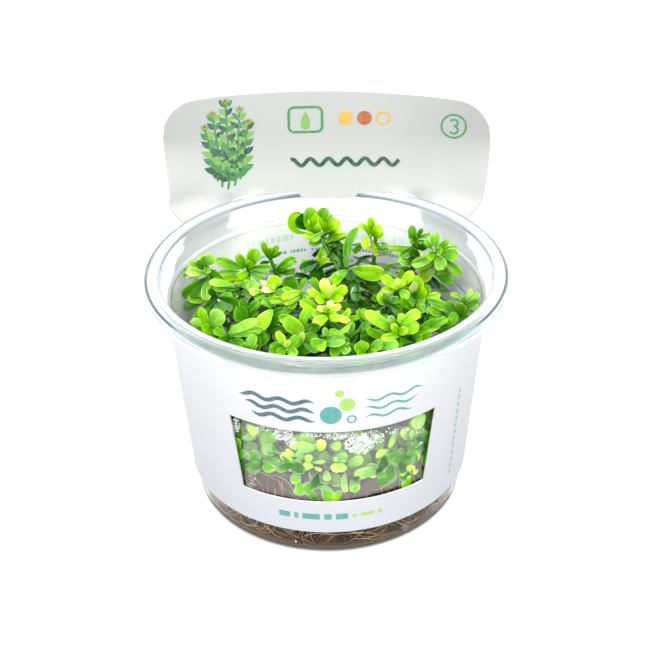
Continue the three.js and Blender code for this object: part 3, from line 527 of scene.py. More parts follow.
def circle(radius, z, angles):
    return np.stack([radius * np.cos(angles), radius * np.sin(angles), z + 0 * angles], 1)


def add_piece(name, points, faces, materials, slots=None, uvs=None, floats=None, sharp_degrees=None):
    """A mesh object from points in millimetres, with a UV map, float attributes and smooth shading."""
    mesh = bpy.data.meshes.new(name)
    mesh.from_pydata((np.asarray(points) * MM).tolist(), [], [list(map(int, face)) for face in faces])
    for material in materials:
        mesh.materials.append(material)
    if slots is not None:
        mesh.polygons.foreach_set("material_index", np.asarray(slots, dtype=np.int32))
    if uvs is not None:
        corners = np.zeros(len(mesh.loops), dtype=np.int32)
        mesh.loops.foreach_get("vertex_index", corners)
        layer = mesh.uv_layers.new(name="UVMap")
        layer.data.foreach_set("uv", np.asarray(uvs, dtype=np.float32)[corners].ravel())
    for key, values in (floats or {}).items():
        attribute = mesh.attributes.new(key, "FLOAT", "POINT")
        attribute.data.foreach_set("value", np.asarray(values, dtype=np.float32))
    mesh.polygons.foreach_set("use_smooth", np.ones(len(mesh.polygons), dtype=bool))
    if sharp_degrees is not None:
        mesh.set_sharp_from_angle(angle=math.radians(sharp_degrees))
    mesh.update()
    piece = bpy.data.objects.new(name, mesh)
    bpy.context.collection.objects.link(piece)
    return piece


class Shape:
    """Points and faces collected from several parts before they become one mesh."""

    def __init__(self):
        self.points = []
        self.faces = []
        self.slots = []
        self.uvs = []
        self.tones = []
        self.hues = []

    def add(self, points, faces, uvs=None, tone=0.5, hue=0.0, slot=0):
        start = len(self.points)
        self.points.extend(np.asarray(points).tolist())
        self.faces.extend([[start + i for i in face] for face in faces])
        self.slots.extend([slot] * len(faces))
        self.uvs.extend(np.asarray(uvs).tolist() if uvs is not None else [[0.5, 0.5]] * len(points))
        self.tones.extend([tone] * len(points))
        self.hues.extend([hue] * len(points))

    def piece(self, name, materials):
        return add_piece(name, self.points, self.faces, materials, self.slots, self.uvs,
                         {"tone": self.tones, "hue": self.hues})


def grid_faces(index):
    """Four-sided faces over a grid of point numbers."""
    corners = [index[:-1, :-1], index[:-1, 1:], index[1:, 1:], index[1:, :-1]]
    return np.stack(corners, -1).reshape(-1, 4).tolist()


def ring_faces(index):
    """Faces round a stack of rings of point numbers."""
    return grid_faces(np.concatenate([index, index[:, :1]], 1))


def tube(path, radii, sides):
    """A closed tube of round section along a path."""
    path = np.asarray(path, dtype=float)
    along = unit(np.gradient(path, axis=0))
    helper = np.where(np.abs(along[:, 2:3]) > 0.9, [[1.0, 0, 0]], [[0, 0, 1.0]])
    first = unit(np.cross(helper, along))
    second = np.cross(along, first)
    angles = full_turn(sides)[None, :, None]
    ring = first[:, None] * np.cos(angles) + second[:, None] * np.sin(angles)
    points = (path[:, None] + ring * np.asarray(radii)[:, None, None]).reshape(-1, 3)
    index = np.arange(len(points)).reshape(-1, sides)
    return points, ring_faces(index) + [index[0, ::-1], index[-1]]


def closed_rings(first, rings, last):
    """A closed surface from one point through rings of points to another point."""
    points = np.concatenate([[first], *rings, [last]])
    end = len(points) - 1
    index = np.arange(1, end).reshape(len(rings), -1)
    faces = ring_faces(index)
    for i in range(len(rings[0])):
        faces += [[0, index[0, i], index[0, i - 1]], [index[-1, i - 1], index[-1, i], end]]
    return points, faces


# Shape functions that the solids share
def smooth(start, end, value):
    share = np.clip((value - start) / (end - start), 0, 1)
    return share * share * (3 - 2 * share)


def lerp(a, b, share):
    return a + (b - a) * share


def outer_wall(z):
    return BASE_WALL_RADIUS + z * WALL_SLOPE


def inner_wall(z):
    return outer_wall(z) - WALL_THICKNESS


def gel_top(x, y):
    dip = np.exp(-((x - 2) ** 2 + (y + 40) ** 2) / (2 * GEL_DIMPLE_WIDTH ** 2))
    return GEL_HEIGHT - GEL_DIMPLE * dip + 0.7 * np.sin(x / 7) * np.cos(y / 9)


# Material helpers
class Wire:
    """A value that flows between nodes. Sums, differences and products of wires become Math nodes."""

    def __init__(self, socket):
        self.socket = socket
        self.tree = socket.id_data

    def __add__(self, other):
        return math_node("ADD", self, other)

    def __sub__(self, other):
        return math_node("SUBTRACT", self, other)

    def __rsub__(self, other):
        return math_node("SUBTRACT", other, self)

    def __mul__(self, other):
        return math_node("MULTIPLY", self, other)

    def __abs__(self):
        return math_node("ABSOLUTE", self)

    def clamped(self):
        """The same value, held between 0 and 1."""
        self.socket.node.use_clamp = True
        return self

    def past(self, start, steepness):
        """0 up to a start and 1 well beyond it; a negative steepness turns this round."""
        return ((self - start) * steepness).clamped()


def plug(socket, value):
    """Link a wire to a socket, or set the socket's own value."""
    if isinstance(value, Wire):
        value.tree.links.new(value.socket, socket)
    else:
        socket.default_value = (*value, 1) if socket.type == "RGBA" else value


def feed(node, **values):
    for key, value in values.items():
        plug(node.inputs[key.replace("_", " ")], value)


def new_material(name, **values):
    material = bpy.data.materials.new(name)
    material.use_nodes = True
    shader = material.node_tree.nodes["Principled BSDF"]
    feed(shader, **values)
    return material, material.node_tree, shader


def add_node(tree, kind, output, settings=None, **inputs):
    """One output of a new node, as a wire."""
    node = tree.nodes.new(kind)
    for key, value in (settings or {}).items():
        setattr(node, key, value)
    feed(node, **inputs)
    return Wire(node.outputs[output])


def math_node(operation, *values):
    tree = next(value.tree for value in values if isinstance(value, Wire))
    node = tree.nodes.new("ShaderNodeMath")
    node.operation = operation
    for socket, value in zip(node.inputs, values):
        plug(socket, value)
    return Wire(node.outputs[0])


def ramp(factor, stops):
    node = factor.tree.nodes.new("ShaderNodeValToRGB")
    elements = node.color_ramp.elements
    while len(elements) < len(stops):
        elements.new(0.5)
    for element, (position, colour) in zip(elements, stops):
        element.position = position
        element.color = (*colour, 1)
    plug(node.inputs["Fac"], factor)
    return Wire(node.outputs["Color"])


def mix_colour(share, first, second):
    node = share.tree.nodes.new("ShaderNodeMix")
    node.data_type = "RGBA"
    colours = [socket for socket in node.inputs if socket.type == "RGBA"]
    for socket, value in zip([node.inputs[0], *colours], (share, first, second)):
        plug(socket, value)
    return Wire([socket for socket in node.outputs if socket.type == "RGBA"][0])


def coordinates(tree, kind="Object"):
    return add_node(tree, "ShaderNodeTexCoord", kind)


def axes(tree, kind="Object"):
    """The three axes of the object's own, the UV map's or the world's coordinates."""
    split = tree.nodes.new("ShaderNodeSeparateXYZ")
    feed(split, Vector=coordinates(tree, kind))
    return [Wire(socket) for socket in split.outputs]


def attribute(tree, name):
    return add_node(tree, "ShaderNodeAttribute", "Fac", {"attribute_name": name})


def object_noise(tree, scale, detail=3.0, roughness=0.5, stretch=None):
    place = coordinates(tree)
    if stretch:
        place = add_node(tree, "ShaderNodeMapping", "Vector", Vector=place, Scale=stretch)
    return add_node(tree, "ShaderNodeTexNoise", "Fac", Vector=place, Scale=scale, Detail=detail,
                    Roughness=roughness)


def add_bump(tree, shader, height, strength, distance):
    feed(shader, Normal=add_node(tree, "ShaderNodeBump", "Normal", Height=height, Strength=strength,
                                 Distance=distance))


# Materials
def clear_plastic(name, colour, transmission, roughness, ior, density):
    """See-through plastic that takes a little blue-grey where much of it is seen through."""
    material, tree, shader = new_material(
        name, Base_Color=colour, Roughness=roughness, IOR=ior, Transmission_Weight=transmission)
    add_bump(tree, shader, object_noise(tree, 14, 0), 0.008, 0.0003)
    feed(tree.nodes["Material Output"], Volume=add_node(
        tree, "ShaderNodeVolumeAbsorption", "Volume", Color=(0.72, 0.80, 0.86), Density=density))
    return material


def shaded(colour, share):
    return [share * value for value in colour]


def white_card(name, low, high, foot, panel, strap_shade):
    """Coated card with painted shade: darker and cooler towards its foot, greyer above the rim (partly its
    own grey tint, partly painted shade), darker towards the panel's sides and, by the strap share, on the
    inner face behind the strap.
    """
    material, tree, shader = new_material(name, Roughness=0.42, Specular_IOR_Level=0.12)
    x, y, z = axes(tree)
    above = z.past(0.064, 200)
    climb = z.past(0.066, 40)
    # Painted shade: the panel's foot darker towards its sides, and the panel darker on its left
    foot = mix_colour(abs(x).past(0.034, 100), foot, shaded(foot, 0.8))
    panel = mix_colour(x.past(-0.022, -38), panel, shaded(panel, 0.89))
    raised = mix_colour(climb, foot, panel)
    # Painted shade: the panel darker on its right as it climbs
    raised = mix_colour(x.past(0.018, 30) * climb * 0.2, raised, BLACK)
    # Painted shade: below the rim the card runs from the darker, cooler low colour at its foot to the high
    # colour
    colour = mix_colour(above, mix_colour(z.past(0.012, 20), low, high), raised)
    # Painted shade on the inner face towards the back, beside the slot and high in the cup below the rim
    strap = abs(x).past(0.020, 90) * z.past(0.050, 100) * strap_shade
    colour = mix_colour(strap * (1 - above).clamped() * y.past(0.008, 100), colour, BLACK)
    cloud = object_noise(tree, 35, 4) * 0.06 + 0.95
    feed(shader, Base_Color=add_node(tree, "ShaderNodeVectorMath", "Vector", {"operation": "SCALE"},
                                     Vector=colour, Scale=cloud))
    add_bump(tree, shader, object_noise(tree, 2500), 0.05, 0.0001)
    return material


def ink(name, *screen_colour):
    """Printing ink with the card's gloss and a faint unevenness."""
    material, tree, shader = new_material(name, Roughness=0.4, Specular_IOR_Level=0.4)
    colour = [(value / 255) ** 2.2 for value in screen_colour]
    lighter = [value + (1 - value) * 0.12 for value in colour]
    feed(shader, Base_Color=ramp(object_noise(tree, 900), [(0.3, colour), (0.75, lighter)]))
    return material


def mist():
    """A thin haze of condensed water that hides little of what lies behind it."""
    material, tree, shader = new_material("mist", Roughness=0.05, IOR=1.01, Specular_IOR_Level=0.0)
    cloud = object_noise(tree, 110, 5, 0.6)
    feed(shader, Transmission_Weight=ramp(cloud, [(0.3, (0.84, 0.84, 0.84)), (0.7, (0.93, 0.93, 0.93))]),
         Base_Color=ramp(cloud, [(0.2, (0.85, 0.81, 0.77)), (0.8, (0.97, 0.94, 0.90))]))
    return material


def water():
    material, tree, shader = new_material("water", Roughness=0.08, IOR=1.33, Transmission_Weight=0.2)
    feed(shader, Base_Color=ramp(object_noise(tree, 700, 2), [(0.2, (0.92, 0.97, 0.92)), (0.8, WHITE)]))
    return material


def brown_gel():
    """Dark gel with brown clouds that are drawn out upwards, and a foot painted paler as painted light at
    the cup's base.
    """
    material, tree, shader = new_material("brown_gel", Specular_IOR_Level=0.04)
    cloud = object_noise(tree, 170, 6, 0.65, stretch=(1, 1, 0.3))
    colour = ramp(cloud, [(0.3, (0.008, 0.004, 0.002)), (0.5, (0.024, 0.013, 0.006)),
                          (0.72, (0.085, 0.046, 0.018))])
    height = axes(tree)[2]
    # Painted light: the lowest few millimetres of the gel are paler
    feed(shader, Base_Color=mix_colour(height.past(0.0035, -500), colour, (0.10, 0.07, 0.05)),
         Roughness=cloud * 0.3 + 0.15)
    add_bump(tree, shader, cloud, 0.5, 0.0006)
    return material


def root_skin():
    material, tree, shader = new_material("root_skin", Roughness=0.45)
    cloud = object_noise(tree, 400) * 0.6 + attribute(tree, "tone") * 0.5
    feed(shader, Base_Color=ramp(cloud, [(0.2, (0.08, 0.042, 0.014)), (0.6, (0.32, 0.20, 0.075)),
                                         (0.9, (0.62, 0.45, 0.21))]))
    return material


def leaf_skin(name, plain, bluish, brownish):
    """Fleshy leaf: tone and hue are the leaf's own attributes, veins follow its length and width; its edges
    are painted paler, a painted light shining through them, and it is darker towards its stalk.
    """
    material, tree, shader = new_material(
        name, Specular_IOR_Level=0.06, Subsurface_Weight=0.12, Subsurface_Scale=0.001,
        Subsurface_Radius=(0.5, 1.0, 0.15), Coat_Weight=0.9, Coat_Roughness=0.05)
    along, across, _ = axes(tree, "UV")
    across = abs(across - 0.5)
    cloud = object_noise(tree, 230, 4, 0.6)
    rib = (1 - across * 18).clamped()
    veins = math_node("SINE", along * 42 + across * -36) * 0.01
    total = attribute(tree, "tone") + (cloud - 0.5) * 0.5 + (along - 0.6) * 0.26 + rib * 0.06
    # Painted light: the leaf's edges paler, as if lit through
    total = (total + across.past(0.36, 1.3) + veins).clamped()
    hue = attribute(tree, "hue")
    colour = mix_colour((hue * 1).clamped(), ramp(total, plain), ramp(total, bluish))
    colour = mix_colour((hue * -1).clamped(), colour, ramp(total, brownish))
    feed(shader, Base_Color=colour, Roughness=cloud * 0.3 + 0.12)
    add_bump(tree, shader, veins * 4 + rib * -0.3 + cloud * 0.9, 0.45, 0.0003)
    return material


PLAIN_GREEN = [
    (0.0, (0.002, 0.024, 0.0)), (0.2, (0.012, 0.10, 0.0)), (0.4, (0.06, 0.26, 0.0)),
    (0.55, (0.14, 0.42, 0.0)), (0.7, (0.31, 0.68, 0.003)), (0.85, (0.62, 0.90, 0.03)),
    (1.0, (0.92, 0.97, 0.42)),
]
BLUISH_GREEN = [
    (0.0, (0.003, 0.024, 0.003)), (0.2, (0.014, 0.10, 0.006)), (0.4, (0.06, 0.25, 0.015)),
    (0.55, (0.16, 0.40, 0.04)), (0.7, (0.36, 0.63, 0.12)), (0.85, (0.62, 0.82, 0.34)),
    (1.0, (0.87, 0.93, 0.70)),
]
BROWNISH_GREEN = [
    (0.0, (0.012, 0.014, 0.001)), (0.2, (0.05, 0.06, 0.003)), (0.4, (0.17, 0.20, 0.008)),
    (0.6, (0.36, 0.38, 0.03)), (0.8, (0.62, 0.58, 0.12)), (1.0, (0.85, 0.80, 0.40)),
]
# The cup's plastics by slot: name, colour, transmission, roughness, IOR and density
# Painted light and shade: the milky upper wall, rim, edges and lip stand in for the rim's bright bands and
# highlight lines, the lip line and the skirt are tinted darker for the shade and plants seen through them,
# and the foot is painted brown for the gel seen through the base
PLASTICS = [clear_plastic(*row) for row in (
    ("clear_plastic", (0.985, 0.995, 0.995), 1.0, 0.02, 1.14, 30),
    ("upper_plastic", (0.97, 0.985, 0.985), 0.97, 0.03, 1.4, 40),
    ("rim_plastic", (0.86, 0.895, 0.90), 0.95, 0.2, 1.36, 130),
    ("edge_highlight_plastic", (0.96, 0.97, 0.97), 0.74, 0.12, 1.4, 20),
    ("foot_plastic", (0.30, 0.25, 0.20), 0.5, 0.2, 1.19, 20),
    ("skirt_plastic", (0.735, 0.81, 0.825), 0.9, 0.12, 1.4, 40),
    ("lip_plastic", (0.85, 0.865, 0.88), 0.6, 0.15, 1.34, 20),
    ("lip_line_plastic", (0.69, 0.72, 0.80), 0.8, 0.15, 1.4, 60),
)]
WALL, UPPER, RIM, EDGE_HIGHLIGHT, FOOT, SKIRT, LIP, LIP_LINE = range(8)
# The low, foot and panel colours carry painted shade (the panel also its own grey tint); the last value is
# the share of painted shade behind the strap
CARD = white_card("white_card", (0.71, 0.73, 0.765), (0.875, 0.88, 0.89), (0.75, 0.76, 0.75),
                  (0.56, 0.57, 0.565), 0.0)
CARD_INNER = white_card("inner_card", (0.82, 0.84, 0.80), (0.86, 0.87, 0.825), (0.76, 0.765, 0.74),
                        (0.55, 0.565, 0.55), 0.4)
# The inks by slot: name and screen colour
INKS = [ink(*row) for row in (
    ("ink_dark_teal", 66, 104, 112), ("ink_teal", 84, 166, 158), ("ink_lime", 172, 216, 98),
    ("ink_dark_green", 46, 92, 66), ("ink_green", 70, 140, 76), ("ink_leaf_green", 126, 176, 84),
    ("ink_orange", 236, 176, 66), ("ink_brown", 176, 98, 48), ("ink_pale_teal", 150, 190, 184),
    ("ink_faint_green", 196, 220, 204),
)]
DARK_TEAL, TEAL, LIME, DARK_GREEN, GREEN, LEAF_GREEN, ORANGE, BROWN, PALE_TEAL, FAINT_GREEN = range(10)
MIST = mist()
WATER = water()
GEL = brown_gel()
ROOT = root_skin()
LEAF = leaf_skin("leaf_skin", PLAIN_GREEN, BLUISH_GREEN, BROWNISH_GREEN)


# Cup: the solid's section with rounded corners, turned finely
def rounded(profile, radius, steps=5):
    """The profile with each inner corner replaced by a short curve."""
    result = [profile[0]]
    for before, corner, after in zip(profile, profile[1:], profile[2:]):
        before, corner, after = map(np.array, (before, corner, after))
        reach = min(radius, np.linalg.norm(before - corner) / 2.1, np.linalg.norm(after - corner) / 2.1)
        start = corner + (before - corner) / np.linalg.norm(before - corner) * reach
        end = corner + (after - corner) / np.linalg.norm(after - corner) * reach
        for t in np.linspace(0, 1, steps):
            result.append(tuple((1 - t) ** 2 * start + 2 * t * (1 - t) * corner + t * t * end))
    result.append(profile[-1])
    return result


def make_cup():
    """The thick edges, the shoulder and the lip are milkier than the wall: painted light in place of the
    rim's bright reflections, beside a lip line and a skirt tinted darker for the shade and plants seen
    through them, and a foot painted brown for the gel seen through the base.
    """
    rim_wall = LIP_INNER_RADIUS + WALL_THICKNESS
    profile = [
        (0, 0), (BASE_WALL_RADIUS - 1.5, 0), (BASE_WALL_RADIUS - 0.35, 0.45), (outer_wall(1.6), 1.6),
        (outer_wall(46), 46), (outer_wall(SHOULDER_HEIGHT), SHOULDER_HEIGHT),
        (rim_wall - 0.7, SHOULDER_HEIGHT + 1.7), (rim_wall, 65.3), (rim_wall, CUP_HEIGHT - 1.7),
        (rim_wall + 1, CUP_HEIGHT - 1), (RIM_RADIUS - 1.5, CUP_HEIGHT - 1.1),
        (RIM_RADIUS - 0.8, CUP_HEIGHT - 2.3), (RIM_RADIUS - 1, SKIRT_BOTTOM),
        (RIM_RADIUS - 0.2, SKIRT_BOTTOM), (RIM_RADIUS, CUP_HEIGHT - 2.5),
        (RIM_RADIUS - 0.4, CUP_HEIGHT - 0.9), (RIM_RADIUS - 1.5, CUP_HEIGHT - 0.1),
        (LIP_INNER_RADIUS + 0.9, CUP_HEIGHT), (LIP_INNER_RADIUS, CUP_HEIGHT - 0.7),
        (LIP_INNER_RADIUS - 0.04, CUP_HEIGHT - 1.9), (LIP_INNER_RADIUS - 0.2, 65),
        (LIP_INNER_RADIUS - 1, SHOULDER_HEIGHT + 1.3),
        (inner_wall(SHOULDER_HEIGHT), SHOULDER_HEIGHT - 0.4), (inner_wall(46), 46), (inner_wall(1.7), 1.7),
        (BASE_WALL_RADIUS - 1.7, FLOOR_THICKNESS), (0, FLOOR_THICKNESS),
    ]
    angles = full_turn(CUP_SEGMENTS)
    rings = [circle(radius, z, angles) for radius, z in rounded(profile, CUP_ROUNDING)[1:-1]]
    points, faces = closed_rings((0, 0, 0), rings, (0, 0, FLOOR_THICKNESS))
    x, y, height = np.array([points[face].mean(0) for face in faces]).T
    radius = np.hypot(x, y)
    below_lip = CUP_HEIGHT - height
    # Zones of painted light and shade on the plastic
    zones = [
        (UPPER, height > 40), (RIM, height > 61.3), (SKIRT, (radius > 49) & (below_lip > 1.3)),
        (EDGE_HIGHLIGHT, (height > 61.3) & (height < 62.9) & (radius < 47.2)),
        (EDGE_HIGHLIGHT, (radius > 48.4) & (height < SKIRT_BOTTOM + 1.7)),
        (LIP, (radius < 48.2) & (below_lip < 1.25)),
        (LIP_LINE, (radius < 46.4) & (below_lip < 1.95) & (below_lip > 1.25)),
        (FOOT, (height < 1.3) & (radius > BASE_WALL_RADIUS - 2.5)),
    ]
    slots = np.full(len(faces), WALL)
    for slot, zone in zones:
        slots[zone] = slot
    cup = add_piece("cup_clear", points, faces, PLASTICS, slots)
    cup.visible_shadow = False
    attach(cup, "root")
    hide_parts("cup")


make_cup()


# Card sleeve: the solid's surface, as place s along the card and height z
def cone_radius(z):
    share = (z - SLEEVE_BOTTOM) / (SLEEVE_TOP - SLEEVE_BOTTOM)
    return lerp(SLEEVE_BOTTOM_RADIUS, SLEEVE_TOP_RADIUS, share) - CARD_THICKNESS / 2


def ring_point(s, z):
    place = np.abs(s)
    share = smooth(SLOT_HALF_WIDTH - 12, SLOT_HALF_WIDTH, place)
    share = share * (1 - smooth(PANEL_HALF_WIDTH, PANEL_HALF_WIDTH + 14, place))
    lift = np.clip((z - STRAP_LIFT_START) / (STRAP_LIFT_END - STRAP_LIFT_START), 0, 1) ** 1.9
    cone = cone_radius(np.minimum(z, STRAP_LIFT_END))
    radius = cone + (STRAP_OUTER_RADIUS - CARD_THICKNESS / 2 - cone) * lift * share
    narrowing = 1 - (1 - SLEEVE_TOP_RADIUS / STRAP_OUTER_RADIUS) * smooth(60, 66.5, z) * share
    angle = s / SLEEVE_TOP_RADIUS * narrowing
    return np.stack([radius * np.sin(angle), radius * np.cos(angle), z], -1)


def panel_point(s, z):
    bend = math.radians(PANEL_SIDE_BEND) * (1 - 0.92 * smooth(68, 92, z))
    steps = 24
    step = np.abs(s) / steps
    x = np.zeros_like(s)
    y = np.full_like(s, PANEL_MIDDLE_Y)
    for i in range(steps):
        place = (i + 0.5) * step
        heading = bend * smooth(22, 52, place) + place / PANEL_PLAN_RADIUS
        x = x + step * np.cos(heading)
        y = y - step * np.sin(heading)
    narrower = 1.9 * smooth(70, 80, z) * smooth(12, 45, -s)
    return np.stack([np.sign(s) * x + narrower, y, z], -1)


def card_point(s, z):
    s, z = np.broadcast_arrays(np.asarray(s, float), np.asarray(z, float))
    ring = ring_point(s, z)
    free = np.maximum(smooth(66.5, 74, z), 1 - smooth(16, 30, np.abs(s)))
    free = np.where(z <= SLEEVE_TOP, 0, free)
    return ring + (panel_point(s, z) - ring) * free[..., None]


def card_face(s, z, side, lift=0.0):
    """A point on the card's face: side 1 looks at the plants, side -1 is the outer face."""
    d = 0.05
    along = card_point(s + d, z) - card_point(s - d, z)
    upward = card_point(s, z) - card_point(s, z - d)
    normal = unit(np.cross(along, upward))
    return card_point(s, z) + normal * side * (CARD_THICKNESS / 2 + lift)


def card_columns():
    """The solid's columns: place, place at the window's foot, and kind of the strip to the right."""
    degree = math.radians(1) * SLEEVE_TOP_RADIUS
    left = -(180 - WINDOW_HALF_ANGLE_TOP + WINDOW_TURN) * degree
    right = (180 - WINDOW_HALF_ANGLE_TOP - WINDOW_TURN) * degree
    at_foot = {left: -(180 - WINDOW_HALF_ANGLE_BOTTOM + WINDOW_TURN) * degree,
               right: (180 - WINDOW_HALF_ANGLE_BOTTOM - WINDOW_TURN) * degree}
    corner = PANEL_HALF_WIDTH - PANEL_CORNER_RADIUS
    strap = [SLOT_HALF_WIDTH, 35, corner, corner + 5, corner + 8.66, PANEL_HALF_WIDTH]
    strips = [
        ("window", [lerp(-FRONT, left, i / 5) for i in range(5)]),
        ("wall", [lerp(left, -PANEL_HALF_WIDTH, i / 11) for i in range(11)]),
        ("strap", [-place for place in strap[:0:-1]]),
        ("slot", [-SLOT_HALF_WIDTH, -27.5, -24, -SLOT_CORNER_START, -14.3]),
        ("tongue", [TONGUE_FROM, 1.2]),
        ("slot", [TONGUE_TO, 15.5, SLOT_CORNER_START, 24, 27.5]),
        ("strap", strap[:-1]),
        ("wall", [lerp(PANEL_HALF_WIDTH, right, i / 11) for i in range(11)]),
        ("window", [*(lerp(right, FRONT, i / 5) for i in range(5)), FRONT]),
    ]
    return [(place, at_foot.get(place, place), kind) for kind, places in strips for place in places]


def card_rows(place, tongue):
    out = abs(place)
    slot_share = min(max((out - SLOT_CORNER_START) / (SLOT_HALF_WIDTH - SLOT_CORNER_START), 0), 1)
    corner_place = max(0, min(out, PANEL_HALF_WIDTH) - (PANEL_HALF_WIDTH - PANEL_CORNER_RADIUS))
    corner_rise = math.sqrt(max(0, PANEL_CORNER_RADIUS ** 2 - corner_place ** 2))
    end = min(place - TONGUE_FROM, TONGUE_TO - place)
    round_off = max(0, 0.9 - end)
    tongue_edge = TONGUE_BOTTOM + 0.9 - math.sqrt(max(0, 0.81 - round_off ** 2))
    top = PANEL_TOP - 0.00105 * place ** 2 - 0.0186 * place
    slot_edge = SLOT_TOP - SLOT_CORNER_DROP * slot_share ** 2
    return [SLEEVE_BOTTOM, WINDOW_BOTTOM, WINDOW_TOP, 54, SLEEVE_TOP, tongue_edge if tongue else 65.3,
            slot_edge, 76, 83, 90, top - PANEL_CORNER_RADIUS + corner_rise]


def card_covers(kind, row):
    if row == 1:
        return kind != "window"
    if row < 4:
        return True
    if row == 4:
        return kind == "strap"
    if row == 5:
        return kind in ("strap", "tongue")
    return kind in ("strap", "tongue", "slot")


def make_sleeve():
    coarse = card_columns()
    columns = []
    for (top, bottom, kind), (next_top, next_bottom, _) in zip(coarse, coarse[1:]):
        parts = max(2, math.ceil((next_top - top) / (TONGUE_STRIP if kind == "tongue" else CARD_STRIP)))
        for i in range(parts):
            columns.append((lerp(top, next_top, i / parts), lerp(bottom, next_bottom, i / parts), kind))
    row_parts = [6, 12, 6, 6, 4, 6, 6, 6, 6, 10]
    levels = [(row, i / parts) for row, parts in enumerate(row_parts) for i in range(parts)] + [(9, 1.0)]
    count = len(columns)
    rows = len(levels)
    s = np.zeros((count, rows))
    z = np.zeros((count, rows))
    for i, (top, bottom, kind) in enumerate(columns):
        # A column at the tongue's end belongs to both strips, so its tongue row meets the slot's edge
        heights = card_rows(top, TONGUE_FROM <= top <= TONGUE_TO + 0.01)
        for j, (row, share) in enumerate(levels):
            z[i, j] = lerp(heights[row], heights[row + 1], share)
            lean = min(max((WINDOW_TOP - z[i, j]) / (WINDOW_TOP - WINDOW_BOTTOM), 0), 1)
            s[i, j] = lerp(top, bottom, lean)
    points = np.concatenate([card_face(s, z, side).reshape(-1, 3) for side in (-1, 1)])

    def covers(i, j):
        return 0 <= j < rows - 1 and card_covers(columns[i % count][2], levels[j][0])

    faces = []
    for i in range(count):
        for j in range(rows - 1):
            if not covers(i, j):
                continue
            outer = [(i + right) % count * rows + j + up for right, up in ((0, 0), (1, 0), (1, 1), (0, 1))]
            inner = [index + count * rows for index in outer]
            faces += [inner, [outer[0], *outer[:0:-1]]]
            for k, (right, up) in enumerate(((0, -1), (1, 0), (0, 1), (-1, 0))):
                if not covers(i + right, j + up):
                    other = (k + 1) % 4
                    edge = [outer[k], outer[other], inner[other], inner[k]]
                    faces.append(edge[k % 2:] + edge[:k % 2])
    used = sorted({index for face in faces for index in face})
    renumber = {index: number for number, index in enumerate(used)}
    slots = [int(all(index >= count * rows for index in face)) for face in faces]
    faces = [[renumber[index] for index in face] for face in faces]
    sleeve = add_piece("sleeve_card", points[used], faces, [CARD, CARD_INNER], slots, sharp_degrees=50)
    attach(sleeve, "root")
    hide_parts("sleeve")


make_sleeve()


# Gel with an uneven, slightly lumpy top
def make_gel():
    angles = full_turn(GEL_SEGMENTS)
    bottom = FLOOR_THICKNESS + GEL_GAP
    sides = [(BASE_WALL_RADIUS - 2.3, bottom), (BASE_WALL_RADIUS - 1.8, bottom + 0.1),
             (inner_wall(1.7) - GEL_GAP, 1.75)]
    sides += [(inner_wall(z) - GEL_GAP, z) for z in (3, 6, 9, 12, 15, GEL_SIDE_TOP)]
    rings = [circle(radius, z, angles) for radius, z in sides]
    wall_x, wall_y, _ = circle(inner_wall(GEL_HEIGHT) - GEL_GAP, 0, angles).T
    for share in (0.35, 0.7, 0.95):
        z = lerp(GEL_SIDE_TOP, gel_top(wall_x, wall_y), share)
        rings.append(circle(inner_wall(z) - GEL_GAP, z, angles))
    for share in (0.995, 0.96, 0.9, 0.82, 0.74, 0.66, 0.58, 0.5, 0.42, 0.34, 0.26, 0.18, 0.1):
        x = wall_x * share
        y = wall_y * share
        lumps = 0.35 * np.sin(x * 0.9 + 1.3 * np.sin(y * 0.5)) * np.cos(y * 0.8)
        z = gel_top(x, y) + lumps - 0.2
        shrink = np.minimum(1, (inner_wall(z) - GEL_GAP) / np.maximum(np.hypot(x, y), 1))
        rings.append(np.stack([x * shrink, y * shrink, z], 1))
    points, faces = closed_rings((0, 0, bottom), rings, (0, 0, float(gel_top(0.0, 0.0))))
    gel = add_piece("gel_body", points, faces, [GEL])
    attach(gel, "root")
    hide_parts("gel")


make_gel()


# Roots that curl where the gel meets the cup's wall
def make_roots():
    random = np.random.RandomState(ROOT_SEED)
    shape = Shape()
    for index in range(ROOT_COUNT):
        low = index < LOW_ROOT_COUNT
        angle = random.uniform(0, 2 * math.pi)
        z = random.uniform(2.5, 14) if low else random.uniform(10, 27)
        length = random.uniform(8, 32)
        heading = random.normal(0, 0.35) if low else math.pi / 2 + random.normal(0, 0.3)
        if random.rand() < 0.5:
            heading += math.pi
        turn = random.normal(0, 0.05)
        thick = random.uniform(0.06, 0.17)
        path = []
        for _ in range(int(length / ROOT_STEP)):
            limit = gel_top(inner_wall(z) * math.cos(angle), inner_wall(z) * math.sin(angle)) - 1.0
            z = z + ROOT_STEP * math.sin(heading)
            if path and not ROOT_LOWEST < z < limit:
                break
            z = min(max(z, ROOT_LOWEST), limit)
            radius = inner_wall(z) - GEL_GAP - 0.4 * thick
            angle += ROOT_STEP * math.cos(heading) / radius
            turn = 0.88 * turn + random.normal(0, 0.17)
            heading += turn * 0.5
            path.append([radius * math.cos(angle), radius * math.sin(angle), z])
        if len(path) < 5:
            continue
        radii = thick * np.interp(np.linspace(0, 1, len(path)), [0, 0.1, 0.7, 1], [0.7, 1, 0.8, 0.25])
        shape.add(*tube(path, radii, ROOT_SIDES), tone=random.rand() if low else random.uniform(0.3, 0.7))
    roots = shape.piece("roots", [ROOT])
    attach(roots, "root")


make_roots()


# Repeatable numbers from 0 to 1, drawn in the same order as for the solids
class Chance:
    def __init__(self, seed):
        self.seed = seed

    def vary(self, amount):
        self.seed = (self.seed * 1664525 + 1013904223) % 4294967296
        return amount * (2 * (self.seed / 4294967296) - 1)


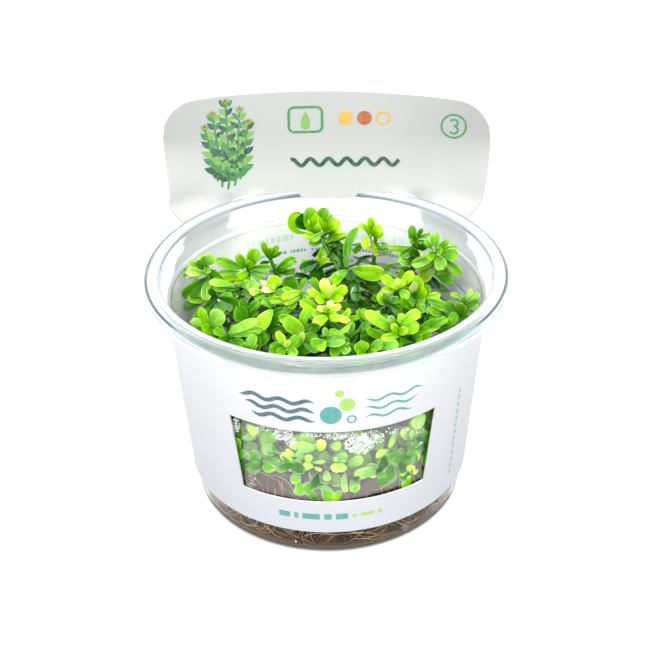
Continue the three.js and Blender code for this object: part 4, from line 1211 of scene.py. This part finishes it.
class Stem:
    """A stem's curve from the gel to its tip: upright at its foot and leaning at its tip."""

    def __init__(self, row, chance):
        x, y, z = row[:3]
        lean_x, lean_y = row[6:8]
        base_x = x * BASE_SPREAD - lean_x * BASE_LEAN + chance.vary(0.8)
        base_y = y * BASE_SPREAD - lean_y * BASE_LEAN + chance.vary(0.8)
        if len(row) > 8:
            base_x, base_y = row[8:10]
        base_z = float(gel_top(base_x, base_y)) + CLEARANCE + 0.3
        rise = z - base_z
        lean = np.array([lean_x, lean_y, 1.0])
        lean /= np.linalg.norm(lean)
        self.base = np.array([base_x, base_y, base_z])
        self.upright = self.base + np.array([0, 0, STEM_RISE_SHARE * rise])
        self.tip = np.array([x, y, z], dtype=float)
        self.below_tip = self.tip - lean * STEM_LEAN_SHARE * rise
        self.length = float(np.linalg.norm(np.diff(self.points(200), axis=0), axis=1).sum())
        self.bent = len(row) > 8
        self.pairs = row[5]

    def point(self, t):
        s = 1 - t
        return (s ** 3 * self.base + 3 * s * s * t * self.upright + 3 * s * t * t * self.below_tip
                + t ** 3 * self.tip)

    def points(self, parts):
        return np.array([self.point(i / parts) for i in range(parts + 1)])

    def line(self):
        """Corners of the line that the stem's solid follows."""
        lowest = PAIR_DROP[self.pairs - 1]
        parts = 5 if self.bent else 2
        drops = [lerp(self.length, lowest, i / parts) for i in range(parts)]
        drops += PAIR_DROP[:self.pairs][::-1] + [0]
        return np.array([self.point(1 - drop / self.length) for drop in drops])

    def directions(self, t):
        s = 1 - t
        axis = (s * s * (self.upright - self.base) + 2 * s * t * (self.below_tip - self.upright)
                + t * t * (self.tip - self.below_tip))
        axis /= np.linalg.norm(axis)
        first = np.array([1.0, 0, 0]) - axis * axis[0]
        first /= np.linalg.norm(first)
        return axis, first, np.cross(axis, first)


def leaf_outline(u):
    return 1.65 * np.maximum(0, u) ** 0.9 * np.sqrt(np.maximum(0, 1 - u ** 4))


class Leaf:
    """A leaf's place on its stem and its directions: along it, across it and out of its upper face."""

    def __init__(self, stem, drop, turn, tilt, length, bend):
        t = 1 - drop / stem.length
        axis, first, second = stem.directions(t)
        out = first * math.cos(math.radians(turn)) + second * math.sin(math.radians(turn))
        self.node = stem.point(t)
        self.along = axis * math.cos(math.radians(tilt)) + out * math.sin(math.radians(tilt))
        across = np.cross(axis, out)
        self.across = across / np.linalg.norm(across)
        self.face = np.cross(self.along, self.across)
        self.length = length
        self.bend = bend
        self.width = length * LEAF_WIDTH_RATIO
        u = np.repeat([0.15, 0.35, 0.55, 0.75, 0.95], 5)
        v = np.tile([-0.9, -0.45, 0, 0.45, 0.9], 5)
        self.samples = self.point(u, v)
        self.middle = self.samples[12]

    def point(self, u, v):
        u, v = np.broadcast_arrays(np.asarray(u, float), v)
        return (self.node + self.along * (u * self.length)[..., None]
                + self.across * (v * leaf_outline(u) * self.width / 2)[..., None]
                - self.face * (self.bend * self.length * u * u)[..., None])

    def holds(self, points):
        """Whether any of the points lies in this leaf or too close to it."""
        rel = points - self.node
        u = rel @ self.along / self.length
        height = rel @ self.face + self.bend * self.length * u * u
        reach = leaf_outline(np.minimum(u, 0.97)) * self.width / 2 + LEAF_CLEARANCE
        inside = (u >= 0.12) & (u <= 1.06) & (np.abs(height) < LEAF_THICKNESS + LEAF_CLEARANCE)
        return bool(np.any(inside & (np.abs(rel @ self.across) < reach)))


def near_stems(points, starts, ends):
    line = ends - starts
    share = np.einsum("psk,sk->ps", points[:, None] - starts[None], line)
    share = share / np.einsum("sk,sk->s", line, line)
    nearest = starts[None] + np.clip(share, 0, 1)[..., None] * line[None]
    distance = np.linalg.norm(points[:, None] - nearest, axis=-1)
    return bool(np.any(distance < STEM_RADIUS + STEM_CLEARANCE))


def inside_cup(points):
    x, y, z = points.T
    wall = inner_wall(np.minimum(z, SHOULDER_HEIGHT))
    wall = np.where(z < SHOULDER_HEIGHT + 2, wall, LIP_INNER_RADIUS - 0.8)
    fits = (np.hypot(x, y) < wall - CLEARANCE - 0.4) & (z > gel_top(x, y) + CLEARANCE + 0.5)
    return bool(np.all(fits & (y < PANEL_MIDDLE_Y - 1.5)))


def leaf_fits(leaf, shoot, placed, segments):
    if not inside_cup(leaf.samples) or near_stems(leaf.samples, *segments[shoot]):
        return False
    for other_shoot, _, other in placed:
        if other_shoot == shoot:
            continue
        if np.linalg.norm(leaf.middle - other.middle) > (leaf.length + other.length) / 2 + 2:
            continue
        if other.holds(leaf.samples) or leaf.holds(other.samples):
            return False
    return True


def grow_shoots():
    """Stems and leaves as in the solids: opposite pairs, each turned a quarter from the one above."""
    chance = Chance(SOLIDS_SEED)
    stems = [Stem(row, chance) for row in SHOOT_TIPS]
    lines = [stem.line() for stem in stems]
    segments = []
    for own in range(len(stems)):
        others = [line for i, line in enumerate(lines) if i != own]
        segments.append((np.concatenate([p[:-1] for p in others]), np.concatenate([p[1:] for p in others])))
    placed = []
    for shoot, row in enumerate(SHOOT_TIPS):
        size, first_turn, pairs = row[3:6]
        for pair in range(pairs):
            for side in range(2):
                turn = first_turn + 90 * pair + 180 * side + chance.vary(12)
                tilt = PAIR_TILT[pair] + chance.vary(9)
                length = size * PAIR_LENGTH[pair] * (1 + chance.vary(0.12))
                bend = PAIR_BEND[pair] + chance.vary(0.07)
                for more_tilt, more_turn, share in LEAF_MOVES:
                    leaf = Leaf(stems[shoot], PAIR_DROP[pair], turn + more_turn, tilt + more_tilt,
                                length * share, bend)
                    if leaf_fits(leaf, shoot, placed, segments):
                        placed.append((shoot, pair, leaf))
                        break
    return stems, placed


STEMS, LEAVES = grow_shoots()


# Places read off the photograph
def picture_place(point):
    rel = np.asarray(point) - EYE
    scale = FOCAL_PIXELS / (rel @ AHEAD)
    px = PICTURE_SIZE / 2 + rel @ SIDEWAYS * scale
    py = PICTURE_SIZE / 2 - rel @ UPWARD * scale
    return np.stack([px, py], -1)


def picture_ray(px, py):
    px, py = (np.asarray(value)[..., None] for value in (px, py))
    return AHEAD * FOCAL_PIXELS + SIDEWAYS * (px - PICTURE_SIZE / 2) + UPWARD * (PICTURE_SIZE / 2 - py)


def place_at_depth(px, py, y):
    """The point seen at a picture place whose y is given."""
    ray = picture_ray(px, py)
    return EYE + ray * (y - EYE[1]) / ray[1]


def wall_point(px, py, inset):
    """The point seen at a picture place on a cone a little inside the front of the cup's wall."""
    px, py, inset = np.broadcast_arrays(px, py, inset)
    ray = picture_ray(px, py)
    start = BASE_WALL_RADIUS - WALL_THICKNESS - inset + WALL_SLOPE * EYE[2]
    slope = WALL_SLOPE * ray[..., 2]
    a = ray[..., 0] ** 2 + ray[..., 1] ** 2 - slope ** 2
    b = EYE[0] * ray[..., 0] + EYE[1] * ray[..., 1] - start * slope
    c = EYE[0] ** 2 + EYE[1] ** 2 - start ** 2
    share = (-b - np.sqrt(b * b - a * c)) / a
    return EYE + ray * share[..., None]


def foot_on_stem(stem, px, py):
    """The stem's point that is seen nearest to a picture place."""
    points = stem.points(60)
    seen = picture_place(points)
    return points[np.argmin(np.linalg.norm(seen - [px, py], axis=1))]


# Fine leaves: fleshy, creased along the middle, with soft edges
def full_outline(u, fullness):
    """Half the width along a leaf, from a paddle to a rounder form."""
    paddle = leaf_outline(u)
    return paddle + (1.7 * u ** 0.6 * np.sqrt(1 - u ** 2) - paddle) * fullness


def leaf_grid(rows):
    """Shares along and across a leaf, and the first held back from the very tip."""
    grid_u, grid_v = np.meshgrid(np.linspace(0, 1, rows), LEAF_ACROSS, indexing="ij")
    return grid_u, grid_v, np.clip(grid_u, 0, 0.997)


def leaf_faces(rows):
    """Faces between an upper grid of points and a lower one that shares its two long edges."""
    columns = len(LEAF_ACROSS)
    top = np.arange(rows * columns).reshape(rows, columns)
    under = top.copy()
    under[:, 1:-1] = rows * columns + np.arange(rows * (columns - 2)).reshape(rows, -1)
    faces = grid_faces(top.T) + grid_faces(under)
    for j in range(columns - 1):
        for i, way in ((0, 1), (-1, -1)):
            ends = [top[i, j], top[i, j + 1], under[i, j + 1], under[i, j]]
            faces.append([ends[k] for k in range(4) if ends[k] != ends[k - 1]][::way])
    return [face for face in faces if len(face) > 2]


def leaf_mesh(upper, lower, grid_u, grid_v):
    points = np.concatenate([upper.reshape(-1, 3), lower[:, 1:-1].reshape(-1, 3)])
    uvs = np.stack([grid_u, 0.5 + grid_v / 2], -1)
    uvs = np.concatenate([uvs.reshape(-1, 2), uvs[:, 1:-1].reshape(-1, 2)])
    return points, leaf_faces(len(upper)), uvs


def middle_groove(grid_v, inner_u):
    return np.exp(-(grid_v / 0.25) ** 2) * np.sin(np.pi * inner_u)


def leaf_surface(path, across, width, cup, wave, phase, fullness):
    """A leaf along a path of middle points, with a direction across it at each of them."""
    along = unit(np.gradient(path, axis=0))
    across = unit(across - along * np.sum(across * along, axis=1)[:, None])
    face = np.cross(along, across)
    grid_u, grid_v, inner_u = leaf_grid(len(path))
    half = np.maximum(full_outline(inner_u, fullness) * width / 2, STALK_RADIUS * (1 - grid_u) ** 2)
    groove = 0.09 * middle_groove(grid_v, inner_u)
    crease = cup * width * (np.abs(grid_v) ** 1.25) * (0.3 + 0.7 * grid_u) - groove
    ripple = wave * width * grid_v ** 2 * np.sin(grid_u * 7 + phase + 1.5 * grid_v)
    body = LEAF_BODY * np.sqrt(np.clip(1 - grid_v ** 2, 0, 1)) * np.sqrt(np.clip(1.03 - grid_u ** 4, 0, 1))
    middle = path[:, None] + across[:, None] * (grid_v * half)[..., None]
    upper = middle + face[:, None] * (crease + ripple + body * 0.35)[..., None]
    lower = middle + face[:, None] * (crease + ripple - body * 0.65)[..., None]
    return leaf_mesh(upper, lower, grid_u, grid_v)


def varied_leaf(path, across, width, random):
    """A leaf with a hollow, waves and a fullness of its own."""
    return leaf_surface(path, np.tile(across, (len(path), 1)), width, random.uniform(0.03, 0.2),
                        random.uniform(0, 0.05), random.uniform(0, 6), random.uniform(0.3, 0.95))


def grown_leaf(leaf, random):
    """The fine form of a leaf that was grown by rule."""
    u = np.linspace(0, 1, LEAF_STEPS)
    return varied_leaf(leaf.point(u, 0 * u), leaf.across, leaf.width, random)


def wall_leaf(row, random):
    """A leaf that lies along the cup's wall between two picture places."""
    foot_x, foot_y, tip_x, tip_y, width, depth, tone = row[:7]
    hue = 0.25 * (row[7] if len(row) > 7 else 0.1)
    tone = tone + 0.04 - 0.6 * max(0, tone - 0.6)
    grid_u, grid_v, inner_u = leaf_grid(12)
    half = full_outline(inner_u, 0.8) * width / 2 + 0.3 * (1 - grid_u)
    along = np.array([tip_x - foot_x, tip_y - foot_y], dtype=float)
    length = np.linalg.norm(along)
    along /= length
    out = half * grid_v + random.uniform(-0.12, 0.12) * length * 4 * grid_u * (1 - grid_u)
    px = foot_x + along[0] * length * grid_u + along[1] * out
    py = foot_y + along[1] * length * grid_u - along[0] * out
    body = np.sqrt(1 - grid_v ** 2) * np.sqrt(np.clip(1.02 - grid_u ** 4, 0, 1))
    rise = random.uniform(0, 1.2) * grid_u + 0.2 * middle_groove(grid_v, inner_u)
    place = wall_point(px, py, depth)
    free = smooth(0, 2, place[..., 2] - gel_top(place[..., 0], place[..., 1]))
    inset = depth * free + 0.3 * (1 - np.sqrt(body)) + 0.2 * rise * free
    upper = wall_point(px, py, inset + 0.01)
    lower = wall_point(px, py, inset + 0.12 + 0.55 * body)
    return *leaf_mesh(upper, lower, grid_u, grid_v), tone, hue


def seen_leaf(stem, row, random, brighter):
    """A leaf between two picture places, its foot on the stem and its upper face towards the viewer."""
    foot_x, foot_y, tip_x, tip_y, width, nearer, tone = row[:7]
    hue, arch = (*row[7:], *(0, 0.05)[len(row) - 7:])
    foot = foot_on_stem(stem, foot_x, foot_y)
    own = place_at_depth(foot_x, foot_y, foot[1])
    start = foot + (own - foot) * min(1, 1.2 / max(np.linalg.norm(own - foot), 0.01))
    tip = place_at_depth(tip_x, tip_y, foot[1] - nearer)
    middle = (own + tip) / 2
    along = unit(tip - own)
    across = unit(np.cross(unit(EYE - middle), along))
    face = np.cross(along, across)
    turn = math.radians(random.uniform(-22, 22))
    turned = across * math.cos(turn) + face * math.sin(turn)
    face = face * math.cos(turn) - across * math.sin(turn)
    bow = middle + face * arch * np.linalg.norm(tip - own) * 2
    t = np.linspace(0, 1, LEAF_STEPS)[:, None]
    path = (1 - t) ** 2 * own + 2 * t * (1 - t) * bow + t * t * tip
    path += (start - own) * (1 - t) ** 3
    scale = (middle - EYE) @ AHEAD / FOCAL_PIXELS
    return *varied_leaf(path, turned, width * scale / math.cos(turn), random), tone + brighter, hue


def curled_leaf(stem, width, roll, places, random):
    foot = foot_on_stem(stem, *places[0][:2])
    corners = np.array([place_at_depth(px, py, foot[1] - nearer) for px, py, nearer in places])
    steps = np.concatenate([[0], np.cumsum(np.linalg.norm(np.diff(corners, axis=0), axis=1))])
    t = np.linspace(0, 1, 19) * steps[-1]
    path = np.stack([np.interp(t, steps, corners[:, k]) for k in range(3)], 1)
    for _ in range(3):
        path[1:-1] = (path[:-2] + 2 * path[1:-1] + path[2:]) / 4
    view = unit(EYE - path)
    turn = math.radians(roll)
    across = unit(np.cross(view, unit(np.gradient(path, axis=0)))) * math.cos(turn) + view * math.sin(turn)
    scale = (path.mean(0) - EYE) @ AHEAD / FOCAL_PIXELS
    return leaf_surface(path, across, width * scale, 0.1, 0.02, random.uniform(0, 6), 0.8)


def deep_leaves(stem, row, random):
    """Shaded leaves further down a tall shoot."""
    leaves = []
    if row[2] < LOW_SHOOT_TOP:
        return leaves
    for drop in np.arange(PAIR_DROP[row[5] - 1] + 3.0, min(stem.length - 5, 24), DEEP_LEAF_STEP):
        turn = random.uniform(0, 360)
        for side in (0, 180):
            leaf = Leaf(stem, drop, turn + side, random.uniform(60, 95),
                        row[3] * random.uniform(0.75, 1.05), random.uniform(0, 0.25))
            if inside_cup(leaf.samples):
                leaves.append(leaf)
    return leaves


def share_wall_leaves():
    """Each leaf along the wall goes with the low shoot that stands nearest to it."""
    low = [number for number, row in enumerate(SHOOT_TIPS, 1) if row[2] < LOW_SHOOT_TOP]
    places = {number: picture_place(STEMS[number - 1].point(0.6))[0] for number in low}
    shares = {number: [] for number in low}
    random = np.random.RandomState(WALL_LEAF_SEED)
    rows = list(WALL_LEAVES)
    # Behind each shallow wall leaf that is not low in the window goes a larger dark leaf: a painted shadow
    # round it
    for foot_x, foot_y, tip_x, tip_y, width, depth in [row[:6] for row in WALL_LEAVES]:
        if max(foot_y, tip_y) > 466 or depth > 1.5:
            continue
        over_x, over_y = 0.12 * (tip_x - foot_x), 0.12 * (tip_y - foot_y)
        rows.append((foot_x - over_x, foot_y - over_y + 1, tip_x + over_x, tip_y + over_y + 1,
                     width * 1.2 + 2, depth + 1.4, 0.28, 0.3))
    for _ in range(EXTRA_WALL_LEAVES):
        px = random.uniform(238, 426)
        py = random.uniform(426, 476) - 8 * ((px - 322) / 100) ** 2
        turn = random.uniform(0, 2 * math.pi)
        length = random.uniform(11, 20)
        rows.append((px, py, px + length * math.cos(turn), py + length * math.sin(turn),
                     random.uniform(8, 13), random.uniform(3, 7), random.uniform(0.1, 0.42),
                     random.uniform(0.1, 0.6)))
    for row in rows:
        nearest = min(low, key=lambda number: abs(places[number] - row[0]))
        shares[nearest].append(row)
    return shares


def make_stem(stem, tone):
    path = stem.points(STEM_STEPS)
    path[0] = stem.base - np.array([0, 0, STEM_SUNK])
    radii = STEM_RADIUS * (1 - 0.3 * np.linspace(0, 1, len(path)))
    radii[-1] = 0.12
    points, faces = tube(path, radii, STEM_SIDES)
    return points, faces, np.tile([0.5, 0.2], (len(points), 1)), tone


def make_shoots():
    random = np.random.RandomState(SHOOT_SEED)
    wall_rows = share_wall_leaves()
    for number, (stem, row) in enumerate(zip(STEMS, SHOOT_TIPS), 1):
        shape = Shape()
        seen = SEEN_LEAVES.get(number, [])
        shoot_tone = 0.36 + 0.012 * (row[2] - 60) + random.uniform(-0.06, 0.06)
        shape.add(*make_stem(stem, shoot_tone - 0.06))
        for owner, pair, leaf in LEAVES:
            if owner != number - 1 or (seen and pair < 3):
                continue
            tone = shoot_tone + 0.12 - 0.09 * pair + random.uniform(-0.08, 0.08)
            shape.add(*grown_leaf(leaf, random), min(max(tone, 0.03), 0.98), random.uniform(-0.25, 0.2))
        for leaf_row in seen:
            shape.add(*seen_leaf(stem, leaf_row, random, 0.08 if number in SUNLIT_SHOOTS else 0))
        for leaf_row in wall_rows.get(number, []):
            shape.add(*wall_leaf(leaf_row, random))
        for leaf in deep_leaves(stem, row, random):
            shape.add(*grown_leaf(leaf, random), random.uniform(0.03, 0.25), random.uniform(-0.2, 0.5))
        for owner, width, tone, roll, places in CURLED_LEAVES:
            if owner == number:
                shape.add(*curled_leaf(stem, width, roll, places, random), tone)
        piece = shape.piece(f"shoot_{number:02d}_leaves", [LEAF])
        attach(piece, "root")
        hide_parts(f"shoot_{number:02d}")


make_shoots()


# Condensation on the wall behind the window
def make_mist():
    u, v = np.meshgrid(np.linspace(0, 1, MIST_COLUMNS), np.linspace(0, 1, MIST_ROWS), indexing="ij")
    px = lerp(lerp(241.5, 246.5, v), lerp(424.5, 420.5, v), u)
    sag = 18 * np.sin(np.pi * u)
    py = lerp(415 + sag - 8 * u, 486.5 + sag - 9 * u, v)
    faces = grid_faces(np.arange(u.size).reshape(u.shape))
    haze = add_piece("mist", wall_point(px, py, 0.05).reshape(-1, 3), faces, [MIST])
    haze.visible_shadow = False
    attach(haze, "root")


def make_drops():
    """Small flattened drops of many sizes, in the fields where the photograph has them."""
    random = np.random.RandomState(DROP_SEED)
    shape = Shape()
    turns = full_turn(DROP_SIDES)
    places = list(BUBBLES)
    for middle_x, middle_y, reach_x, reach_y, count in DROP_FIELDS:
        for _ in range(2 * count):
            away = math.sqrt(random.rand())
            turn = random.uniform(0, 2 * math.pi)
            size = random.uniform(0.2, 0.5) if random.rand() < 0.95 else random.uniform(0.6, 1.0)
            places.append((middle_x + reach_x * away * math.cos(turn),
                           middle_y + reach_y * away * math.sin(turn), size))
    for px, py, size in places:
        deep = 0.06 + min(0.12 * size, 0.15)
        rings = [wall_point(px + share * size * np.cos(turns), py + share * size * np.sin(turns), inset)
                 for share, inset in ((1, 0.06), (0.6, deep))]
        shape.add(*closed_rings(wall_point(px, py, 0.02), rings, wall_point(px, py, deep + 0.04)),
                  slot=int(size > LARGEST_DROP))
    drops = shape.piece("drops", [WATER, MIST])
    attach(drops, "root")


make_mist()
make_drops()


# Print on the card, drawn in millimetres along the card and up it
def arc(s, z, reach_s, reach_z, turns):
    return np.stack([s + reach_s * np.cos(turns), z + reach_z * np.sin(turns)], 1)


class Print(Shape):
    """Flat shapes on a face of the card; on the front they are placed from the front's middle."""

    def __init__(self, side, front=False, lift=PRINT_LIFT):
        super().__init__()
        self.side = side
        self.front = front
        self.lift = lift

    def put(self, flat, faces, colour):
        s, z = np.asarray(flat, dtype=float).T
        if self.front:
            s = np.where(s >= 0, FRONT - s, -FRONT - s)
        if (self.side < 0) != self.front:
            faces = [face[::-1] for face in faces]
        self.add(card_face(s, z, self.side, self.lift), faces, slot=colour)

    def outline(self, flat, colour):
        flat = np.asarray(flat, dtype=float)
        count = len(flat)
        faces = [[0, 1 + i, 1 + (i + 1) % count] for i in range(count)]
        self.put(np.concatenate([flat.mean(0)[None], flat]), faces, colour)

    def stroke(self, line, width, colour):
        line = np.asarray(line, dtype=float)
        count = len(line)
        along = unit(np.gradient(line, axis=0))
        out = np.stack([-along[:, 1], along[:, 0]], 1) * np.broadcast_to(width, count)[:, None] / 2
        faces = [[count + i, count + i + 1, i + 1, i] for i in range(count - 1)]
        self.put(np.concatenate([line + out, line - out]), faces, colour)

    def disc(self, s, z, radius, colour):
        self.outline(arc(s, z, radius, radius, full_turn(24)), colour)

    def ring(self, s, z, radius, width, colour):
        self.stroke(arc(s, z, radius, radius, np.linspace(0, 2 * np.pi, 37)), width, colour)

    def leaf(self, s, z, heading, length, width, colour):
        u = np.linspace(0, 1, 9)
        half = width / 2 * np.sin(np.pi * u ** 0.8)
        right = np.stack([u * length, -half], 1)
        left = np.stack([u * length, half], 1)[-2:0:-1]
        turn = np.array([[math.cos(heading), math.sin(heading)], [-math.sin(heading), math.cos(heading)]])
        self.outline(np.concatenate([right, left]) @ turn + [s, z], colour)

    def done(self, name):
        piece = self.piece(name, INKS)
        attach(piece, "root")


def print_panel():
    """Three sprigs, a drop in a frame, three dots, a wave and a number in a ring."""
    marks = Print(1, lift=PANEL_PRINT_LIFT)
    random = np.random.RandomState(SPRIG_SEED)
    for foot, lean, low, high in ((-33.2, -0.2, 77, 94), (-31.6, -0.1, 75, 98), (-29.6, 0.0, 74, 101.5),
                                  (-27.6, 0.1, 75, 99), (-26, 0.19, 77, 95)):
        marks.stroke([(foot + lean * (z - low), z) for z in np.linspace(low, high, 12)], 0.7, GREEN)
        for k, z in enumerate(np.arange(low + 3, high - 1, 2.6)):
            share = (z - low) / (high - low)
            length = lerp(4.6, 3.0, share)
            for way in (-1, 1):
                heading = math.pi / 2 - way * (lerp(1.25, 0.75, share) + random.uniform(-0.12, 0.12))
                colour = (DARK_GREEN, GREEN, LEAF_GREEN)[(k + (way > 0)) % 3]
                marks.leaf(foot + lean * (z - low), z, heading, length, length * 0.5, colour)
        for way, colour in ((-0.5, LEAF_GREEN), (0, BROWN), (0.5, LEAF_GREEN)):
            marks.leaf(foot + lean * (high - low), high - 1, math.pi / 2 + way, 2.6, 1.3, colour)
    bend = 1.6
    corners = [arc(s, z, bend, bend, np.radians(np.linspace(start, start + 90, 6))) for s, z, start in
               ((-2.0, 93.0, -90), (-2.0, 97.6, 0), (-8.6, 97.6, 90), (-8.6, 93.0, 180))]
    marks.stroke(np.concatenate([*corners, corners[0][:1]]), 0.75, GREEN)
    turns = full_turn(28)
    drop = np.stack([-5.3 + 1.9 * np.sin(turns) * np.sin(turns / 2) ** 1.2, 95.1 + 2.9 * np.cos(turns)], 1)
    marks.outline(drop[::-1], LEAF_GREEN)
    marks.disc(6.6, 95.6, 2.2, ORANGE)
    marks.disc(12.1, 95.6, 2.2, BROWN)
    marks.ring(17.6, 95.6, 1.9, 0.6, ORANGE)
    wave = np.linspace(-10, 22.5, 90)
    marks.stroke(np.stack([wave, 81.6 + 1.1 * np.sin(wave * 1.15)], 1), 1.25, DARK_GREEN)
    marks.ring(38.4, 93.6, 3.6, 0.6, GREEN)
    three = [arc(38.4, 94.65, 1.15, 1.05, np.linspace(2.6, -1.4, 12)),
             arc(38.4, 92.45, 1.25, 1.15, np.linspace(1.4, -2.6, 12))]
    marks.stroke(np.concatenate(three), 0.6, GREEN)
    marks.done("print_panel")


def print_front():
    """Ripples and bubbles above the window, dashes below it and at the right side."""
    marks = Print(-1, front=True)
    for k, z in enumerate((54.6, 51.8, 49.0)):
        ripples = ((-24.5 + 1.6 * k, -3.6, 1.25, 0.6, k, DARK_TEAL),
                   (9.6, 26.5 - 1.6 * k, 0.7, 0.55, -k, TEAL))
        for start, end, width, height, phase, colour in ripples:
            line = np.linspace(start, end, 60)
            taper = np.minimum(1, np.minimum(line - start, end - line) / 2.5 + 0.1)
            ripple = np.stack([line, z + height * np.sin(line * 0.85 + phase)], 1)
            marks.stroke(ripple, width * taper, colour)
    marks.disc(0.6, 50.6, 2.9, TEAL)
    marks.disc(4.9, 53.9, 2.1, LIME)
    marks.disc(2.9, 57.6, 1.2, LIME)
    marks.ring(6.1, 48.9, 1.1, 0.5, TEAL)
    place = -15.5
    for k, length in enumerate((3.4, 1.2, 5.2, 2.2, 3.6, 1.2, 4.0, 1.6)):
        width, colour = (2.0, TEAL) if k < 5 else (1.2, LIME)
        steps = np.linspace(0, length, max(2, int(length / 0.8) + 1))
        marks.stroke(np.stack([place + steps, 14.6 + 0 * steps], 1), width, colour)
        place += length + 1.3
    for z in np.arange(15, 45, 2.4):
        marks.stroke([(43.2, z), (43.2, z + 1.5)], 1.0, PALE_TEAL)
    marks.done("print_front")


def print_inside():
    """Rows of dashes on the inner face, seen through the cup's far wall."""
    marks = Print(1)
    random = np.random.RandomState(DASH_SEED)
    rows = [(56.4, 2.2, FAINT_GREEN, -26, 24), (51.6, 1.0, TEAL, -42, 66), (47.8, 1.0, TEAL, -52, 74),
            (44.0, 1.0, TEAL, -58, 80), (40.2, 1.0, TEAL, -58, 84), (36.4, 1.0, TEAL, -60, 84)]
    for z, width, colour, start, end in rows:
        step = 1.0 if width < 1.5 else 1.8
        place = start + random.uniform(0, 3)
        while place < end:
            for _ in range(random.randint(2, 9)):
                length = random.uniform(0.5, 1.1) * step
                marks.stroke([(place, z), (place + length, z)], width * random.uniform(0.7, 1.1), colour)
                place += length + 0.35 * step
            place += random.uniform(0.9, 1.4) * step
    marks.done("print_inside")


print_panel()
print_front()
print_inside()


# Floor, light and view
def make_stage():
    size = 40.0
    mesh = bpy.data.meshes.new("floor")
    corners = [(-size, -size, 0), (size, -size, 0), (size, size, 0), (-size, size, 0)]
    mesh.from_pydata(corners, [], [[0, 1, 2, 3]])
    floor = bpy.data.objects.new("floor", mesh)
    floor.location.z = -0.0002
    floor.visible_diffuse = False
    bpy.context.collection.objects.link(floor)
    material, tree, shader = new_material(
        "floor_white", Base_Color=(0.2, 0.2, 0.2), Roughness=0.8, Emission_Strength=1.0)
    away = add_node(tree, "ShaderNodeVectorMath", "Value", {"operation": "LENGTH"},
                    Vector=coordinates(tree))
    # Painted shadow: the glowing floor turns dark brown under the cup's base
    feed(shader, Emission_Color=mix_colour(away.past(BASE_SHADE_RADIUS, 800), (0.10, 0.08, 0.06), WHITE))
    mesh.materials.append(material)


def add_light(name, place, height, size, power):
    """A lamp that looks at the axis at a height in metres and isn't seen itself."""
    data = bpy.data.lights.new(name, "AREA")
    data.shape = "RECTANGLE"
    data.size, data.size_y = size
    data.energy = power
    light = bpy.data.objects.new(name, data)
    back = unit(np.array(place) - [0, 0, height])
    side = unit(np.cross((0, 0, 1), back))
    aim(light, side, np.cross(back, side), back, place)
    light.visible_camera = False


def make_light():
    """Soft studio light that is brighter from above than from the floor."""
    world = bpy.data.worlds.new("studio")
    world.use_nodes = True
    tree = world.node_tree
    height = axes(tree, "Generated")[2]
    colour = ramp(height * 0.5 + 0.5, [
        (0.0, (0.27, 0.27, 0.28)), (0.43, (0.46, 0.46, 0.47)), (0.48, (0.24, 0.26, 0.31)),
        (0.56, (0.26, 0.28, 0.33)), (0.63, (0.90, 0.90, 0.91)), (1.0, (0.97, 0.97, 0.97))])
    feed(tree.nodes["Background"], Color=colour, Strength=1.0)
    world.cycles_visibility.glossy = False
    bpy.context.scene.world = world
    for row in LIGHTS:
        add_light(*row)
    view = bpy.context.scene.view_settings
    view.view_transform = "Standard"
    view.look = "None"


make_stage()
make_light()
